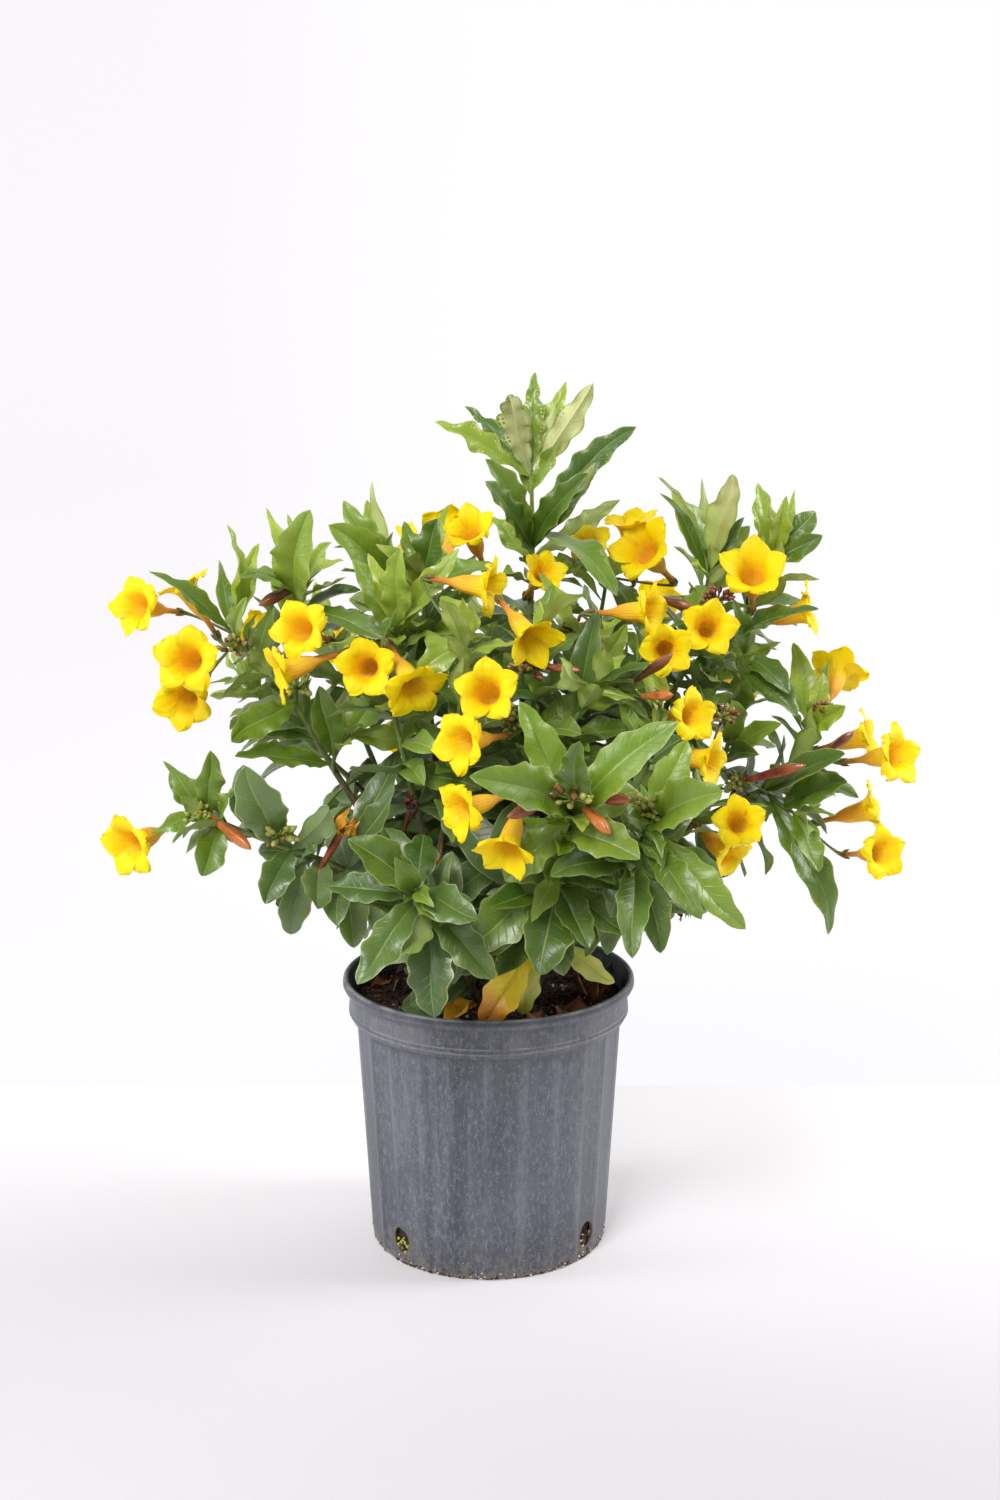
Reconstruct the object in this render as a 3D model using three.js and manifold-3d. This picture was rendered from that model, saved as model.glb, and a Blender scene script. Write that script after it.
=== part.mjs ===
// A bush allamanda in bloom, growing in a ribbed nursery pot.
// Millimetres, +Z up. The origin is the middle of the pot's flat bottom, and -Y is the side it is seen from.
// Every cane stands in a hole of its own in the potting mix and carries its leaves, buds, flower stalks and
// calyxes as one grown piece. Every yellow corolla sits on its calyx, a hair clear of it.
import * as THREE from 'three';
import Module from 'manifold-3d';

const wasm = await Module();
wasm.setup();

// Driving sizes of the pot
const POT_HEIGHT = 241;
const RIM_RADIUS = 127.7;
const BAND_RADIUS = 122.3;
const BAND_FOOT = 207;
const BODY_TOP_RADIUS = 116.5;
const BODY_TOP = 203;
const BAND_TOP = 232;
const FLOOR_THICKNESS = 3;
const BODY_FOOT_RADIUS = 105;
const WALL = 2.5;
const FLUTES = 24;
const FLUTE_DEPTH = 1.2;
const DRAINS = [-46, 54, 134, 234];
const DRAIN_HEIGHT = 28;
const DRAIN_WIDTH = 13;
const DRAIN_TALL = 19;

// Driving sizes of the plant
const SOIL_TOP = 217;
const SOIL_MOUND = 5;
const SOIL_SHARE = (SOIL_TOP - BODY_TOP) / (BAND_TOP - BODY_TOP);
const HOLE_FLOOR = 190;
const GAP = 0.3;
const STEM_TIP_RADIUS = 1.5;
const STEM_TAPER = 0.0075;
const STEM_SIDES = 4;
const BLADE_RISE = 0.9;
const RIBS = [0.27, 0.56, 0.82];
const BLOOM_LENGTH = 58;
const BLOOM_RADIUS = 26;
const THROAT_RADIUS = 9.5;
const STALK_RADIUS = 1.1;
const CALYX_RADIUS = 3.2;
const TUBE_RADIUS = 2.4;
const EYE = [10, -1630, 787];
const COLOURS = {
  pot: 0x3b3e45, soil: 0x3a2a20, cane: 0x5a8a3c, bloom: 0xf6c60a, fallen: 0x8a5a2e,
};

// Canes: branches as points from the foot to the tip. The first branch stands in the soil.
const CANES = {
  left_crest: [
    [
      [-22, 6, 190], [-30, 4, 250], [-80, -12, 345], [-130, -35, 430], [-160, -45, 490],
      [-190, -45, 525], [-215, -40, 552],
    ],
    [[-160, -45, 490], [-160, -30, 540], [-154, -36, 590]],
    [[-130, -35, 430], [-128, -60, 448], [-112, -62, 470]],
  ],
  left_low: [
    [
      [-24, -14, 190], [-32, -20, 245], [-75, -60, 315], [-115, -90, 360], [-165, -105, 382],
      [-205, -95, 395], [-238, -90, 410],
    ],
  ],
  left_peak: [
    [[-10, 12, 190], [-14, 8, 260], [-40, -5, 380], [-50, -12, 480], [-52, -20, 560], [-55, -20, 598]],
    [[-48, -10, 460], [-66, 0, 540], [-88, 10, 600]],
    [[-50, -12, 480], [-68, -45, 525], [-76, -62, 560]],
  ],
  mid_left: [
    [[-10, -12, 190], [-18, -25, 255], [-45, -65, 350], [-62, -95, 430], [-76, -110, 500], [-85, -115, 545]],
    [[-45, -65, 350], [-30, -110, 420], [-22, -120, 500], [-16, -115, 555]],
  ],
  tall: [
    [[2, 6, 190], [4, 6, 260], [18, 6, 380], [32, 8, 500], [38, 10, 600], [36, 10, 690]],
  ],
  heart: [
    [[8, -14, 190], [12, -30, 260], [26, -80, 360], [34, -115, 450], [38, -118, 530], [40, -112, 560]],
    [[30, -98, 405], [60, -120, 470], [85, -130, 525]],
  ],
  front: [
    [[12, -28, 190], [20, -50, 250], [42, -120, 330], [58, -185, 395], [64, -222, 440]],
    [[20, -50, 250], [38, -100, 300], [52, -150, 350], [56, -162, 372]],
  ],
  front_right: [
    [[24, -18, 190], [34, -34, 250], [80, -100, 325], [108, -165, 375], [124, -205, 432]],
    [[80, -100, 325], [112, -135, 400], [128, -150, 470], [136, -142, 512]],
    [[108, -165, 375], [140, -138, 398], [166, -110, 422]],
  ],
  upper_right: [
    [[16, -2, 190], [20, -4, 260], [40, -18, 370], [62, -42, 460], [76, -60, 545]],
    [[40, -18, 370], [70, 24, 470], [96, 46, 540], [104, 50, 590]],
    [[62, -42, 460], [110, -60, 510], [140, -70, 545]],
  ],
  right_peak: [
    [[24, 8, 190], [34, 10, 255], [85, 12, 350], [135, 6, 440], [172, 2, 520], [188, 0, 600]],
    [[135, 6, 440], [190, 14, 505], [225, 28, 560], [247, 40, 606]],
  ],
  right_shoulder: [
    [
      [32, -2, 190], [44, -4, 245], [115, -4, 320], [180, -4, 380], [235, -12, 408],
      [268, -10, 430], [278, 0, 462],
    ],
    [[180, -4, 380], [205, -4, 440], [216, 0, 500], [218, 0, 528]],
    [[235, -12, 408], [250, -30, 398], [262, -40, 392]],
  ],
  front_left: [
    [[-6, -30, 190], [-12, -50, 245], [-30, -115, 300], [-46, -165, 345], [-55, -200, 375]],
  ],
  back_left: [
    [[-18, 24, 190], [-28, 36, 255], [-75, 90, 340], [-120, 135, 430], [-150, 165, 520]],
    [[-75, 90, 340], [-130, 90, 400], [-190, 95, 450], [-225, 95, 490]],
  ],
  back_centre: [
    [[0, 34, 190], [2, 48, 255], [6, 110, 350], [4, 165, 430], [0, 200, 510]],
    [[6, 110, 350], [-20, 110, 450], [-30, 105, 550], [-30, 100, 600]],
    [[2, 48, 255], [14, 70, 275], [24, 130, 300], [30, 190, 350], [35, 230, 400]],
    [[14, 70, 275], [-20, 120, 290], [-60, 175, 340], [-80, 205, 390]],
  ],
  back_right: [
    [[20, 26, 190], [30, 38, 255], [80, 95, 340], [120, 140, 430], [145, 170, 520]],
    [[80, 95, 340], [140, 85, 400], [195, 90, 460], [220, 90, 510]],
  ],
};

// Blooms: node, cane, middle of the mouth, the way it faces, size and roll in degrees
const BLOOMS = [
  ['bloom_01', 'left_crest', [-290, -40, 570], [-0.55, -0.8, 0.2], 0.95, 10],
  ['bloom_02', 'left_crest', [-252, -26, 586], [-0.5, 0.02, 0.82], 0.9, 30],
  ['bloom_03', 'left_crest', [-240, -98, 535], [-0.15, -0.95, 0.25], 1.04, 0],
  ['bloom_04', 'left_crest', [-250, -62, 495], [-0.2, -0.93, -0.2], 1, 36],
  ['bloom_05', 'left_peak', [-150, -100, 560], [-0.4, -0.85, 0.3], 0.95, 20],
  ['bloom_06', 'left_crest', [-165, -112, 527], [-0.93, -0.3, -0.25], 0.95, 0],
  ['bloom_07', 'left_peak', [-95, -135, 535], [-0.1, -0.97, 0.15], 1, 12],
  ['bloom_08', 'mid_left', [-55, -150, 520], [0.4, -0.75, -0.5], 1.04, 40],
  ['bloom_09', 'left_peak', [-15, -10, 630], [-0.25, -0.62, 0.74], 0.9, 15],
  ['bloom_10', 'left_peak', [-66, 60, 610], [0.72, -0.3, 0.6], 0.9, 0],
  ['bloom_11', 'heart', [0, -182, 525], [-0.15, -0.9, 0.4], 1.04, 8],
  ['bloom_12', 'heart', [-20, -192, 487], [-0.65, -0.75, 0.05], 1, 24],
  ['bloom_13', 'mid_left', [2, -98, 593], [0.93, -0.3, -0.1], 0.95, 10],
  ['bloom_14', 'heart', [34, -146, 560], [0.45, -0.72, -0.45], 0.95, 30],
  ['bloom_15', 'tall', [46, -34, 597], [0.3, -0.8, 0.5], 0.85, 0],
  ['bloom_16', 'upper_right', [84, 8, 618], [-0.3, -0.55, 0.78], 0.85, 20],
  ['bloom_17', 'upper_right', [120, 24, 632], [-0.1, -0.2, 0.95], 0.9, 0],
  ['bloom_17', 'upper_right', [130, 0, 613], [-0.5, -0.68, 0.54], 1.09, 25],
  ['bloom_18', 'right_peak', [220, -24, 597], [-0.1, -0.76, 0.64], 1.09, 5],
  ['bloom_19', 'upper_right', [130, -92, 573], [0.9, -0.4, 0.08], 0.95, 16],
  ['bloom_20', 'upper_right', [140, -128, 548], [0.0, -0.97, 0.1], 0.95, 30],
  ['bloom_21', 'right_peak', [176, -104, 562], [0.0, -0.96, 0.25], 1, 0],
  ['bloom_22', 'right_peak', [272, 8, 560], [0.92, -0.2, 0.3], 0.95, 22],
  ['bloom_23', 'right_shoulder', [306, 50, 500], [0.3, 0.75, 0.5], 1, 0],
  ['bloom_24', 'front_right', [160, -150, 500], [0.55, -0.8, 0.2], 0.95, 18],
  ['bloom_25', 'front_right', [175, -152, 464], [0.85, -0.5, -0.05], 0.95, 0],
  ['bloom_26', 'right_shoulder', [345, -32, 443], [0.7, -0.65, 0.25], 1, 12],
  ['bloom_26', 'right_shoulder', [326, 2, 452], [0.9, -0.25, 0.3], 0.9, 30],
  ['bloom_27', 'right_shoulder', [333, 6, 387], [0.9, -0.25, 0.3], 0.95, 0],
  ['bloom_28', 'right_shoulder', [333, -48, 362], [0.45, -0.84, 0.25], 0.95, 20],
  ['bloom_29', 'front_right', [195, -172, 420], [-0.05, -0.9, 0.4], 0.95, 14],
  ['bloom_30', 'front_right', [193, -146, 384], [0.6, -0.62, -0.45], 0.95, 30],
  ['bloom_31', 'heart', [-20, -216, 440], [-0.75, -0.62, -0.1], 1, 26],
  ['bloom_32', 'front', [15, -248, 418], [-0.25, -0.75, -0.6], 0.95, 6],
  ['bloom_33', 'left_low', [-290, -112, 385], [-0.55, -0.82, -0.12], 1.04, 0],
  ['bloom_34', 'back_left', [-215, 150, 520], [-0.6, 0.7, 0.4], 0.95, 0],
  ['bloom_35', 'back_left', [-150, 235, 500], [-0.2, 0.93, 0.3], 1, 15],
  ['bloom_36', 'back_centre', [-40, 170, 615], [-0.1, 0.75, 0.65], 0.95, 25],
  ['bloom_37', 'back_centre', [25, 275, 500], [0.15, 0.96, 0.2], 1.04, 8],
  ['bloom_38', 'back_centre', [-85, 275, 400], [-0.35, 0.9, 0.2], 0.95, 30],
  ['bloom_39', 'back_right', [165, 235, 540], [0.3, 0.8, 0.5], 0.95, 0],
  ['bloom_40', 'back_right', [235, 165, 480], [0.75, 0.62, 0.2], 1, 18],
];

// Large leaves: cane, foot, tip, width and facing
const LEAVES = [
  ['tall', [35, 10, 670], [-42, -5, 722], 24],
  ['tall', [35, 10, 675], [-20, 45, 730], 18],
  ['tall', [35, 10, 670], [15, -30, 745], 26, 'under'],
  ['tall', [35, 10, 675], [40, 25, 760], 20],
  ['tall', [35, 10, 670], [85, -30, 750], 24, 'under'],
  ['tall', [35, 10, 675], [68, 45, 755], 18],
  ['tall', [40, 10, 615], [0, -25, 690], 28],
  ['tall', [40, 10, 635], [122, -25, 715], 26],
  ['tall', [40, 10, 615], [80, -40, 680], 26],
  ['tall', [40, 10, 605], [-5, -50, 662], 28],
  ['tall', [40, 10, 605], [115, 10, 655], 22, 'under'],
  ['left_crest', [-215, -40, 545], [-205, -55, 640], 24, 'right'],
  ['left_crest', [-215, -40, 540], [-190, -30, 620], 20],
  ['left_crest', [-215, -40, 540], [-272, -25, 600], 18],
  ['left_crest', [-213, -40, 535], [-195, -80, 582], 20],
  ['left_crest', [-155, -40, 580], [-165, -30, 645], 16],
  ['left_crest', [-155, -40, 580], [-150, -70, 630], 16],
  ['left_crest', [-152, -40, 572], [-124, -88, 642], 38],
  ['left_crest', [-155, -40, 580], [-195, -60, 605], 22],
  ['left_crest', [-152, -40, 565], [-85, -110, 560], 26, 'sky'],
  ['left_crest', [-125, -58, 448], [-135, -90, 512], 28],
  ['left_crest', [-112, -62, 468], [-78, -72, 512], 26],
  ['left_crest', [-112, -62, 462], [-58, -62, 460], 22],
  ['left_crest', [-132, -36, 435], [-205, -92, 455], 28],
  ['left_crest', [-160, -45, 490], [-208, -102, 468], 30],
  ['left_crest', [-145, -40, 460], [-200, -15, 475], 26],
  ['left_low', [-225, -90, 402], [-262, -70, 436], 24],
  ['left_low', [-225, -90, 402], [-222, -95, 462], 24],
  ['left_low', [-218, -90, 398], [-202, -132, 438], 20],
  ['left_low', [-215, -92, 396], [-232, -112, 360], 28],
  ['left_low', [-172, -104, 384], [-192, -142, 455], 40],
  ['left_low', [-160, -102, 380], [-122, -152, 425], 26, 'under'],
  ['left_low', [-160, -102, 380], [-178, -142, 345], 28],
  ['left_low', [-150, -100, 374], [-160, -112, 308], 28],
  ['left_low', [-135, -95, 368], [-135, -155, 345], 28],
  ['left_low', [-115, -90, 360], [-110, -120, 302], 30],
  ['left_low', [-115, -90, 360], [-82, -136, 438], 26],
  ['left_low', [-115, -90, 362], [-74, -48, 450], 26],
  ['left_peak', [-85, 8, 590], [-122, 0, 655], 24],
  ['left_peak', [-87, 10, 595], [-105, 42, 652], 20],
  ['left_peak', [-85, 8, 585], [-127, -30, 636], 34],
  ['left_peak', [-76, -60, 555], [-70, -76, 622], 28],
  ['left_peak', [-75, -60, 550], [-24, -72, 622], 24],
  ['left_peak', [-55, -20, 590], [-40, -35, 642], 28],
  ['left_peak', [-55, -20, 592], [-72, 10, 638], 18],
  ['left_peak', [-55, -20, 585], [5, -52, 606], 24],
  ['left_peak', [-60, -30, 520], [-118, -66, 568], 26],
  ['mid_left', [-16, -115, 550], [-56, -158, 532], 26],
  ['heart', [38, -118, 510], [0, -168, 503], 24],
  ['heart', [70, -124, 492], [85, -135, 580], 24],
  ['heart', [84, -130, 520], [58, -172, 545], 22, 'under'],
  ['front', [64, -222, 440], [-6, -262, 486], 38],
  ['front', [64, -222, 440], [136, -262, 520], 38],
  ['front', [62, -215, 432], [13, -268, 392], 30],
  ['front', [64, -218, 436], [24, -215, 522], 30],
  ['front', [64, -220, 440], [66, -272, 508], 28],
  ['front', [64, -215, 432], [116, -195, 450], 28],
  ['front', [62, -205, 420], [112, -272, 415], 34],
  ['front_right', [122, -200, 422], [172, -242, 462], 40],
  ['front_right', [124, -204, 430], [152, -188, 488], 28],
  ['front_right', [120, -195, 415], [198, -228, 352], 28],
  ['front_right', [116, -185, 402], [132, -222, 330], 28],
  ['front_right', [114, -180, 395], [108, -245, 345], 28],
  ['front_right', [118, -192, 410], [158, -255, 370], 26],
  ['front_right', [114, -180, 395], [48, -242, 408], 30],
  ['front_right', [118, -190, 408], [188, -168, 368], 28],
  ['front_left', [-54, -195, 370], [-102, -218, 420], 36],
  ['front_left', [-54, -195, 370], [-50, -150, 405], 28],
  ['front_left', [-54, -192, 368], [-122, -160, 362], 28],
  ['front_left', [-53, -190, 366], [-8, -242, 364], 30],
  ['front_left', [-52, -188, 364], [-97, -242, 312], 32],
  ['front_left', [-53, -192, 367], [-57, -262, 328], 28, 'under'],
  ['front_left', [-50, -180, 358], [6, -202, 302], 30],
  ['front_left', [-47, -168, 348], [-40, -212, 272], 38],
  ['front_left', [-46, -165, 345], [-80, -172, 412], 30],
  ['right_peak', [188, 0, 590], [143, -10, 676], 24, 'right'],
  ['right_peak', [188, 0, 588], [155, 32, 656], 20],
  ['right_peak', [188, 0, 594], [190, -32, 672], 26, 'under'],
  ['right_peak', [188, 0, 594], [206, 20, 672], 22],
  ['right_peak', [188, 0, 585], [222, 35, 628], 24],
  ['right_peak', [187, 0, 580], [165, -52, 558], 26],
  ['right_peak', [246, 40, 600], [225, 30, 648], 18],
  ['right_peak', [246, 40, 600], [230, 58, 662], 24],
  ['right_peak', [246, 40, 602], [252, 10, 656], 20],
  ['right_peak', [246, 40, 600], [282, 50, 642], 26],
  ['right_peak', [245, 38, 594], [284, 20, 622], 24],
  ['right_peak', [205, 20, 528], [268, -62, 574], 26],
  ['right_peak', [222, 27, 556], [268, 12, 540], 22, 'sky'],
  ['right_shoulder', [278, 0, 456], [286, 10, 508], 22],
  ['right_shoulder', [278, 0, 455], [300, -25, 486], 24],
  ['right_shoulder', [277, 0, 458], [265, 22, 527], 24],
  ['right_shoulder', [218, 0, 525], [252, -42, 500], 28],
  ['right_shoulder', [217, 0, 510], [257, -52, 478], 32],
  ['right_shoulder', [232, -12, 408], [294, -84, 450], 36],
  ['right_shoulder', [250, -30, 398], [298, -58, 428], 36],
  ['right_shoulder', [262, -40, 392], [275, -72, 352], 26],
  ['right_shoulder', [240, -18, 402], [296, -62, 294], 32],
  ['right_shoulder', [262, -12, 425], [318, 8, 398], 24],
  ['front', [38, -100, 300], [-5, -112, 230], 32],
  ['front', [34, -90, 290], [30, -117, 234], 24],
  ['front_right', [58, -68, 292], [106, -80, 258], 22, 'left'],
  ['front', [56, -162, 372], [-16, -195, 322], 42],
  ['front', [54, -156, 362], [40, -210, 312], 42],
  ['front', [56, -160, 370], [78, -215, 332], 28],
  ['front', [55, -158, 366], [110, -190, 330], 28],
  ['front', [56, -162, 372], [5, -190, 402], 34],
];

// Which way a leaf's upper face looks
const FACINGS = {
  front: [0, -0.8, 0.6], sky: [0, -0.25, 1], under: [0, 0.9, -0.3],
  left: [-0.8, -0.5, 0.4], right: [0.8, -0.5, 0.4],
};

// Flower buds: cane, tail, tip, greatest radius
const BUDS = [
  ['left_crest', [-155, -48, 588], [-186, -62, 574], 4.5],
  ['front', [50, -240, 455], [15, -257, 445], 4.5],
  ['front', [75, -238, 455], [105, -255, 458], 4.5],
  ['front', [70, -240, 450], [90, -262, 434], 4.5],
  ['heart', [115, -140, 525], [142, -162, 550], 4],
  ['heart', [42, -128, 535], [72, -150, 535], 3.6],
  ['right_peak', [135, -60, 580], [165, -80, 575], 4],
  ['front_right', [120, -150, 515], [142, -172, 520], 4],
  ['right_shoulder', [215, -50, 425], [260, -80, 445], 4.6],
  ['right_shoulder', [285, -30, 445], [305, -42, 465], 3.6],
  ['left_low', [-225, -95, 405], [-190, -122, 385], 4.8],
  ['left_low', [-110, -100, 420], [-125, -127, 370], 5.5],
];

// Dead leaves on the potting mix: node, foot and tip over the mix, width
const FALLEN = [
  ['fallen_leaf_right', [56, -34, 3], [84, -70, 3], 27],
  ['fallen_leaf_left', [-52, -88, 3], [-18, -104, 3], 25],
];

// The crown seen from in front: its outline in X and Z, and the gaps that stay open, with their radius
const OUTLINE = [
  [-280, 395], [-275, 335], [-215, 305], [-185, 275], [-125, 280], [-50, 215], [45, 240], [135, 265],
  [225, 295], [270, 350], [305, 360], [305, 425], [295, 485], [275, 535], [285, 570], [280, 635],
  [225, 660], [150, 660], [125, 630], [90, 605], [65, 615], [0, 605], [-30, 615], [-75, 635],
  [-120, 650], [-160, 630], [-205, 590], [-230, 580], [-245, 525], [-235, 460], [-255, 415],
];
const OPEN_PLACES = [[-155, 410, 22], [-95, 445, 20], [105, 575, 17], [-165, 395, 17], [-80, 495, 12]];
const HIDDEN_BLOOMS = ['bloom_10', 'bloom_15', 'bloom_16', 'bloom_32'];

// How near a leaf may come to each kind of thing already in the crowd
const NEAR = { stem: 8, leaf: 8, petal: 9, air: 15, stalk: 8 };
const LARGE_WHORLS = { start: 14, step: 230, count: 3, reach: 1, seed: 5900 };
const WHORL_TRIALS = 14;
const LEAFY_LENGTH = 230;
const BARE_LENGTH = 35;
const NAMED_CROWDING = 2.5;
const WHORL_CROWDING = 5.5;
const CELL = 16;
const STEM_SAMPLE = 6;
const STALK_SAMPLES = 11;
const PETAL_RINGS = [[11, 6], [19, 10], [25, 14]];
const AIR_AHEAD = [14, 28];
const CLEAR_FRONT = 24;
const POT_CLEARANCE = { radius: 150, height: 235 };
const LEAF_STATIONS = [0.2, 0.35, 0.5, 0.65, 0.8];
const LEAF_TIP_STATIONS = [0.97, 0.88];
const LEAF_SPREAD = [-1, -0.5, 0, 0.5, 1];
const OUTLINE_SAMPLES = [7, 12, 20, 24, 25];
const SHIFTS = [
  [0, 0, 0], [0, -10, 0], [0, 10, 0], [0, -20, 0], [0, 20, 0], [0, 0, 10], [0, 0, -10], [10, 0, 0],
  [-10, 0, 0], [0, -32, 0], [0, 32, 0], [8, -15, 8], [-8, 15, -8], [-8, -15, 8], [8, 15, -8],
  [0, -45, 5], [0, 45, -5], [15, -25, 12], [-15, -25, 12], [15, 20, 15], [-15, 20, 15],
];

// Small vector helpers
const vec = (p) => new THREE.Vector3(p[0], p[1], p[2]);
const plus = (a, b) => a.clone().add(b);
const minus = (a, b) => a.clone().sub(b);
const times = (a, k) => a.clone().multiplyScalar(k);
const between = (a, b, t) => plus(a, times(minus(b, a), t));
const cross = (a, b) => a.clone().cross(b);
const unit = (a) => times(a, 1 / a.length());
const squareTo = (a, axis) => unit(minus(a, times(axis, a.dot(axis))));

// A repeatable row of draws between 0 and 1
function draws(seed) {
  let state = seed * 7919 + 12345;
  const draw = () => {
    state = (state * 16807) % 2147483647;
    return state / 2147483647;
  };
  draw();
  draw();
  draw();
  return draw;
}

function bend(a, knee, b, t) {
  const u = 1 - t;
  return plus(plus(times(a, u * u), times(knee, 2 * u * t)), times(b, t * t));
}

function bendWay(a, knee, b, t) {
  return unit(plus(times(minus(knee, a), 1 - t), times(minus(b, knee), t)));
}

// Leaf: foot, tip, width and the way its upper face looks, with a seeded arch, twist, fold and wave
function makeLeaf(cane, foot, tip, width, up, seed) {
  const draw = draws(seed);
  const leaf = { cane, foot, tip, width };
  leaf.up = squareTo(up, unit(minus(tip, foot)));
  leaf.arch = 0.06 + 0.14 * draw();
  leaf.twist = (draw() - 0.5) * 1.1;
  leaf.phase = 2 * Math.PI * draw();
  leaf.waves = 1.2 + 1.2 * draw();
  leaf.wave = 1.2 + 2.6 * draw();
  leaf.fold = 0.12 + 0.3 * draw();
  return leaf;
}

function leafFrame(leaf, t) {
  const chord = minus(leaf.tip, leaf.foot);
  const side = unit(cross(chord, leaf.up));
  const knee = plus(between(leaf.foot, leaf.tip, 0.5), times(leaf.up, leaf.arch * chord.length()));
  const middle = bend(leaf.foot, knee, leaf.tip, t);
  const up = unit(cross(side, bendWay(leaf.foot, knee, leaf.tip, t)));
  const turn = leaf.twist * t;
  return {
    middle,
    side: plus(times(side, Math.cos(turn)), times(up, Math.sin(turn))),
    up: plus(times(up, Math.cos(turn)), times(side, -Math.sin(turn))),
  };
}

function leafBreadth(t) {
  return Math.sin(Math.PI * t ** 1.15) ** 1.1;
}

// A point of the blade: t from foot to tip, s from -1 at one edge to 1 at the other
function leafPoint(leaf, t, s) {
  const frame = leafFrame(leaf, t);
  const breadth = leafBreadth(t);
  const half = leaf.width / 2 * breadth * s;
  const phase = leaf.phase + (s > 0 ? 1.9 : 0);
  const ripple = leaf.wave * Math.sin(2 * Math.PI * leaf.waves * t + phase) * breadth;
  const lift = Math.abs(half) * leaf.fold + Math.abs(s) * ripple;
  return plus(plus(frame.middle, times(frame.side, half)), times(frame.up, lift));
}

function leafSamples(leaf) {
  const samples = [];
  for (const t of LEAF_STATIONS) {
    for (const s of LEAF_SPREAD) {
      samples.push({ point: leafPoint(leaf, t, s), t });
    }
  }
  for (const t of LEAF_TIP_STATIONS) {
    samples.push({ point: leafPoint(leaf, t, 0), t });
  }
  return samples;
}

// Points every few millimetres along a branch
function along(branch, step) {
  const places = [];
  for (let i = 1; i < branch.length; i += 1) {
    const a = vec(branch[i - 1]);
    const b = vec(branch[i]);
    const count = Math.max(1, Math.floor(a.distanceTo(b) / step + 0.5));
    for (let k = 0; k < count; k += 1) {
      places.push(between(a, b, k / count));
    }
  }
  places.push(vec(branch[branch.length - 1]));
  return places;
}

function branchLength(branch) {
  let total = 0;
  for (let i = 1; i < branch.length; i += 1) {
    total += vec(branch[i]).distanceTo(vec(branch[i - 1]));
  }
  return total;
}

// The place on a branch, and its way, at a distance back from the tip
function placeBack(branch, distance) {
  let left = distance;
  for (let i = branch.length - 1; i > 0; i -= 1) {
    const a = vec(branch[i]);
    const b = vec(branch[i - 1]);
    const span = a.distanceTo(b);
    if (left <= span) {
      return { place: between(a, b, left / span), way: unit(minus(a, b)) };
    }
    left -= span;
  }
  return null;
}

function nearestOnCane(point, cane) {
  let best = null;
  let bestGap = Infinity;
  for (const branch of CANES[cane]) {
    for (const place of along(branch, STEM_SAMPLE).slice(0, -1)) {
      const gap = point.distanceTo(place);
      if (place.z > SOIL_TOP + 20 && gap < bestGap) {
        best = place;
        bestGap = gap;
      }
    }
  }
  return best;
}

// Where a point shows on the upright plane through the pot, seen from the eye
function flatPlace(p) {
  const k = -EYE[1] / (p.y - EYE[1]);
  return [EYE[0] + (p.x - EYE[0]) * k, EYE[2] + (p.z - EYE[2]) * k];
}

// Everything already placed, in cells, so that leaves can be kept clear of it
class Crowd {
  constructor() {
    this.cells = new Map();
    this.faces = [];
  }

  put(point, kind, owner, t = 1) {
    const key = [point.x, point.y, point.z].map((v) => Math.floor(v / CELL)).join();
    if (!this.cells.has(key)) {
      this.cells.set(key, []);
    }
    this.cells.get(key).push({ point, kind, owner, t });
  }

  around(point) {
    const [i, j, k] = [point.x, point.y, point.z].map((v) => Math.floor(v / CELL));
    const found = [];
    for (const a of [i - 1, i, i + 1]) {
      for (const b of [j - 1, j, j + 1]) {
        for (const c of [k - 1, k, k + 1]) {
          found.push(...(this.cells.get(`${a},${b},${c}`) ?? []));
        }
      }
    }
    return found;
  }

  isFree(samples, cane, crowding) {
    for (const { point, t } of samples) {
      for (const other of this.around(point)) {
        const own = other.owner === cane;
        if (own && other.kind === 'stem' && t < 0.4) continue;
        if (own && other.kind === 'stalk' && t < 0.3) continue;
        let reach = NEAR[other.kind];
        if (own && other.kind === 'leaf') {
          reach = Math.min(t, other.t) < 0.4 ? crowding : NEAR.leaf;
        }
        if (point.distanceToSquared(other.point) < reach * reach) return false;
      }
    }
    return true;
  }

  // Open blooms push through the foliage: no leaf hangs in front of one, or down over the pot
  showsBlooms(samples) {
    for (let i = 0; i < samples.length; i += 2) {
      const { point } = samples[i];
      const fromAxis = Math.sqrt(point.x ** 2 + point.y ** 2);
      if (point.z < POT_CLEARANCE.height && fromAxis < POT_CLEARANCE.radius) return false;
      const [x, z] = flatPlace(point);
      for (const face of this.faces) {
        const apart = (x - face.x) ** 2 + (z - face.z) ** 2;
        if (point.y < face.depth && apart < face.reach ** 2) return false;
      }
    }
    return true;
  }
}

function bloomFrame(row) {
  const [, cane, mouth, faces, size, roll] = row;
  const axis = unit(vec(faces));
  const side = squareTo(vec([0.3, 0.5, 0.8]), axis);
  const base = plus(vec(mouth), times(axis, -BLOOM_LENGTH * size));
  return { cane, mouth: vec(mouth), axis, side, other: cross(axis, side), base, size, roll };
}

function stalkCurve(frame) {
  const root = nearestOnCane(frame.base, frame.cane);
  const knee = plus(frame.base, times(frame.axis, -12));
  return (t) => bend(root, knee, frame.base, t);
}

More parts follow.
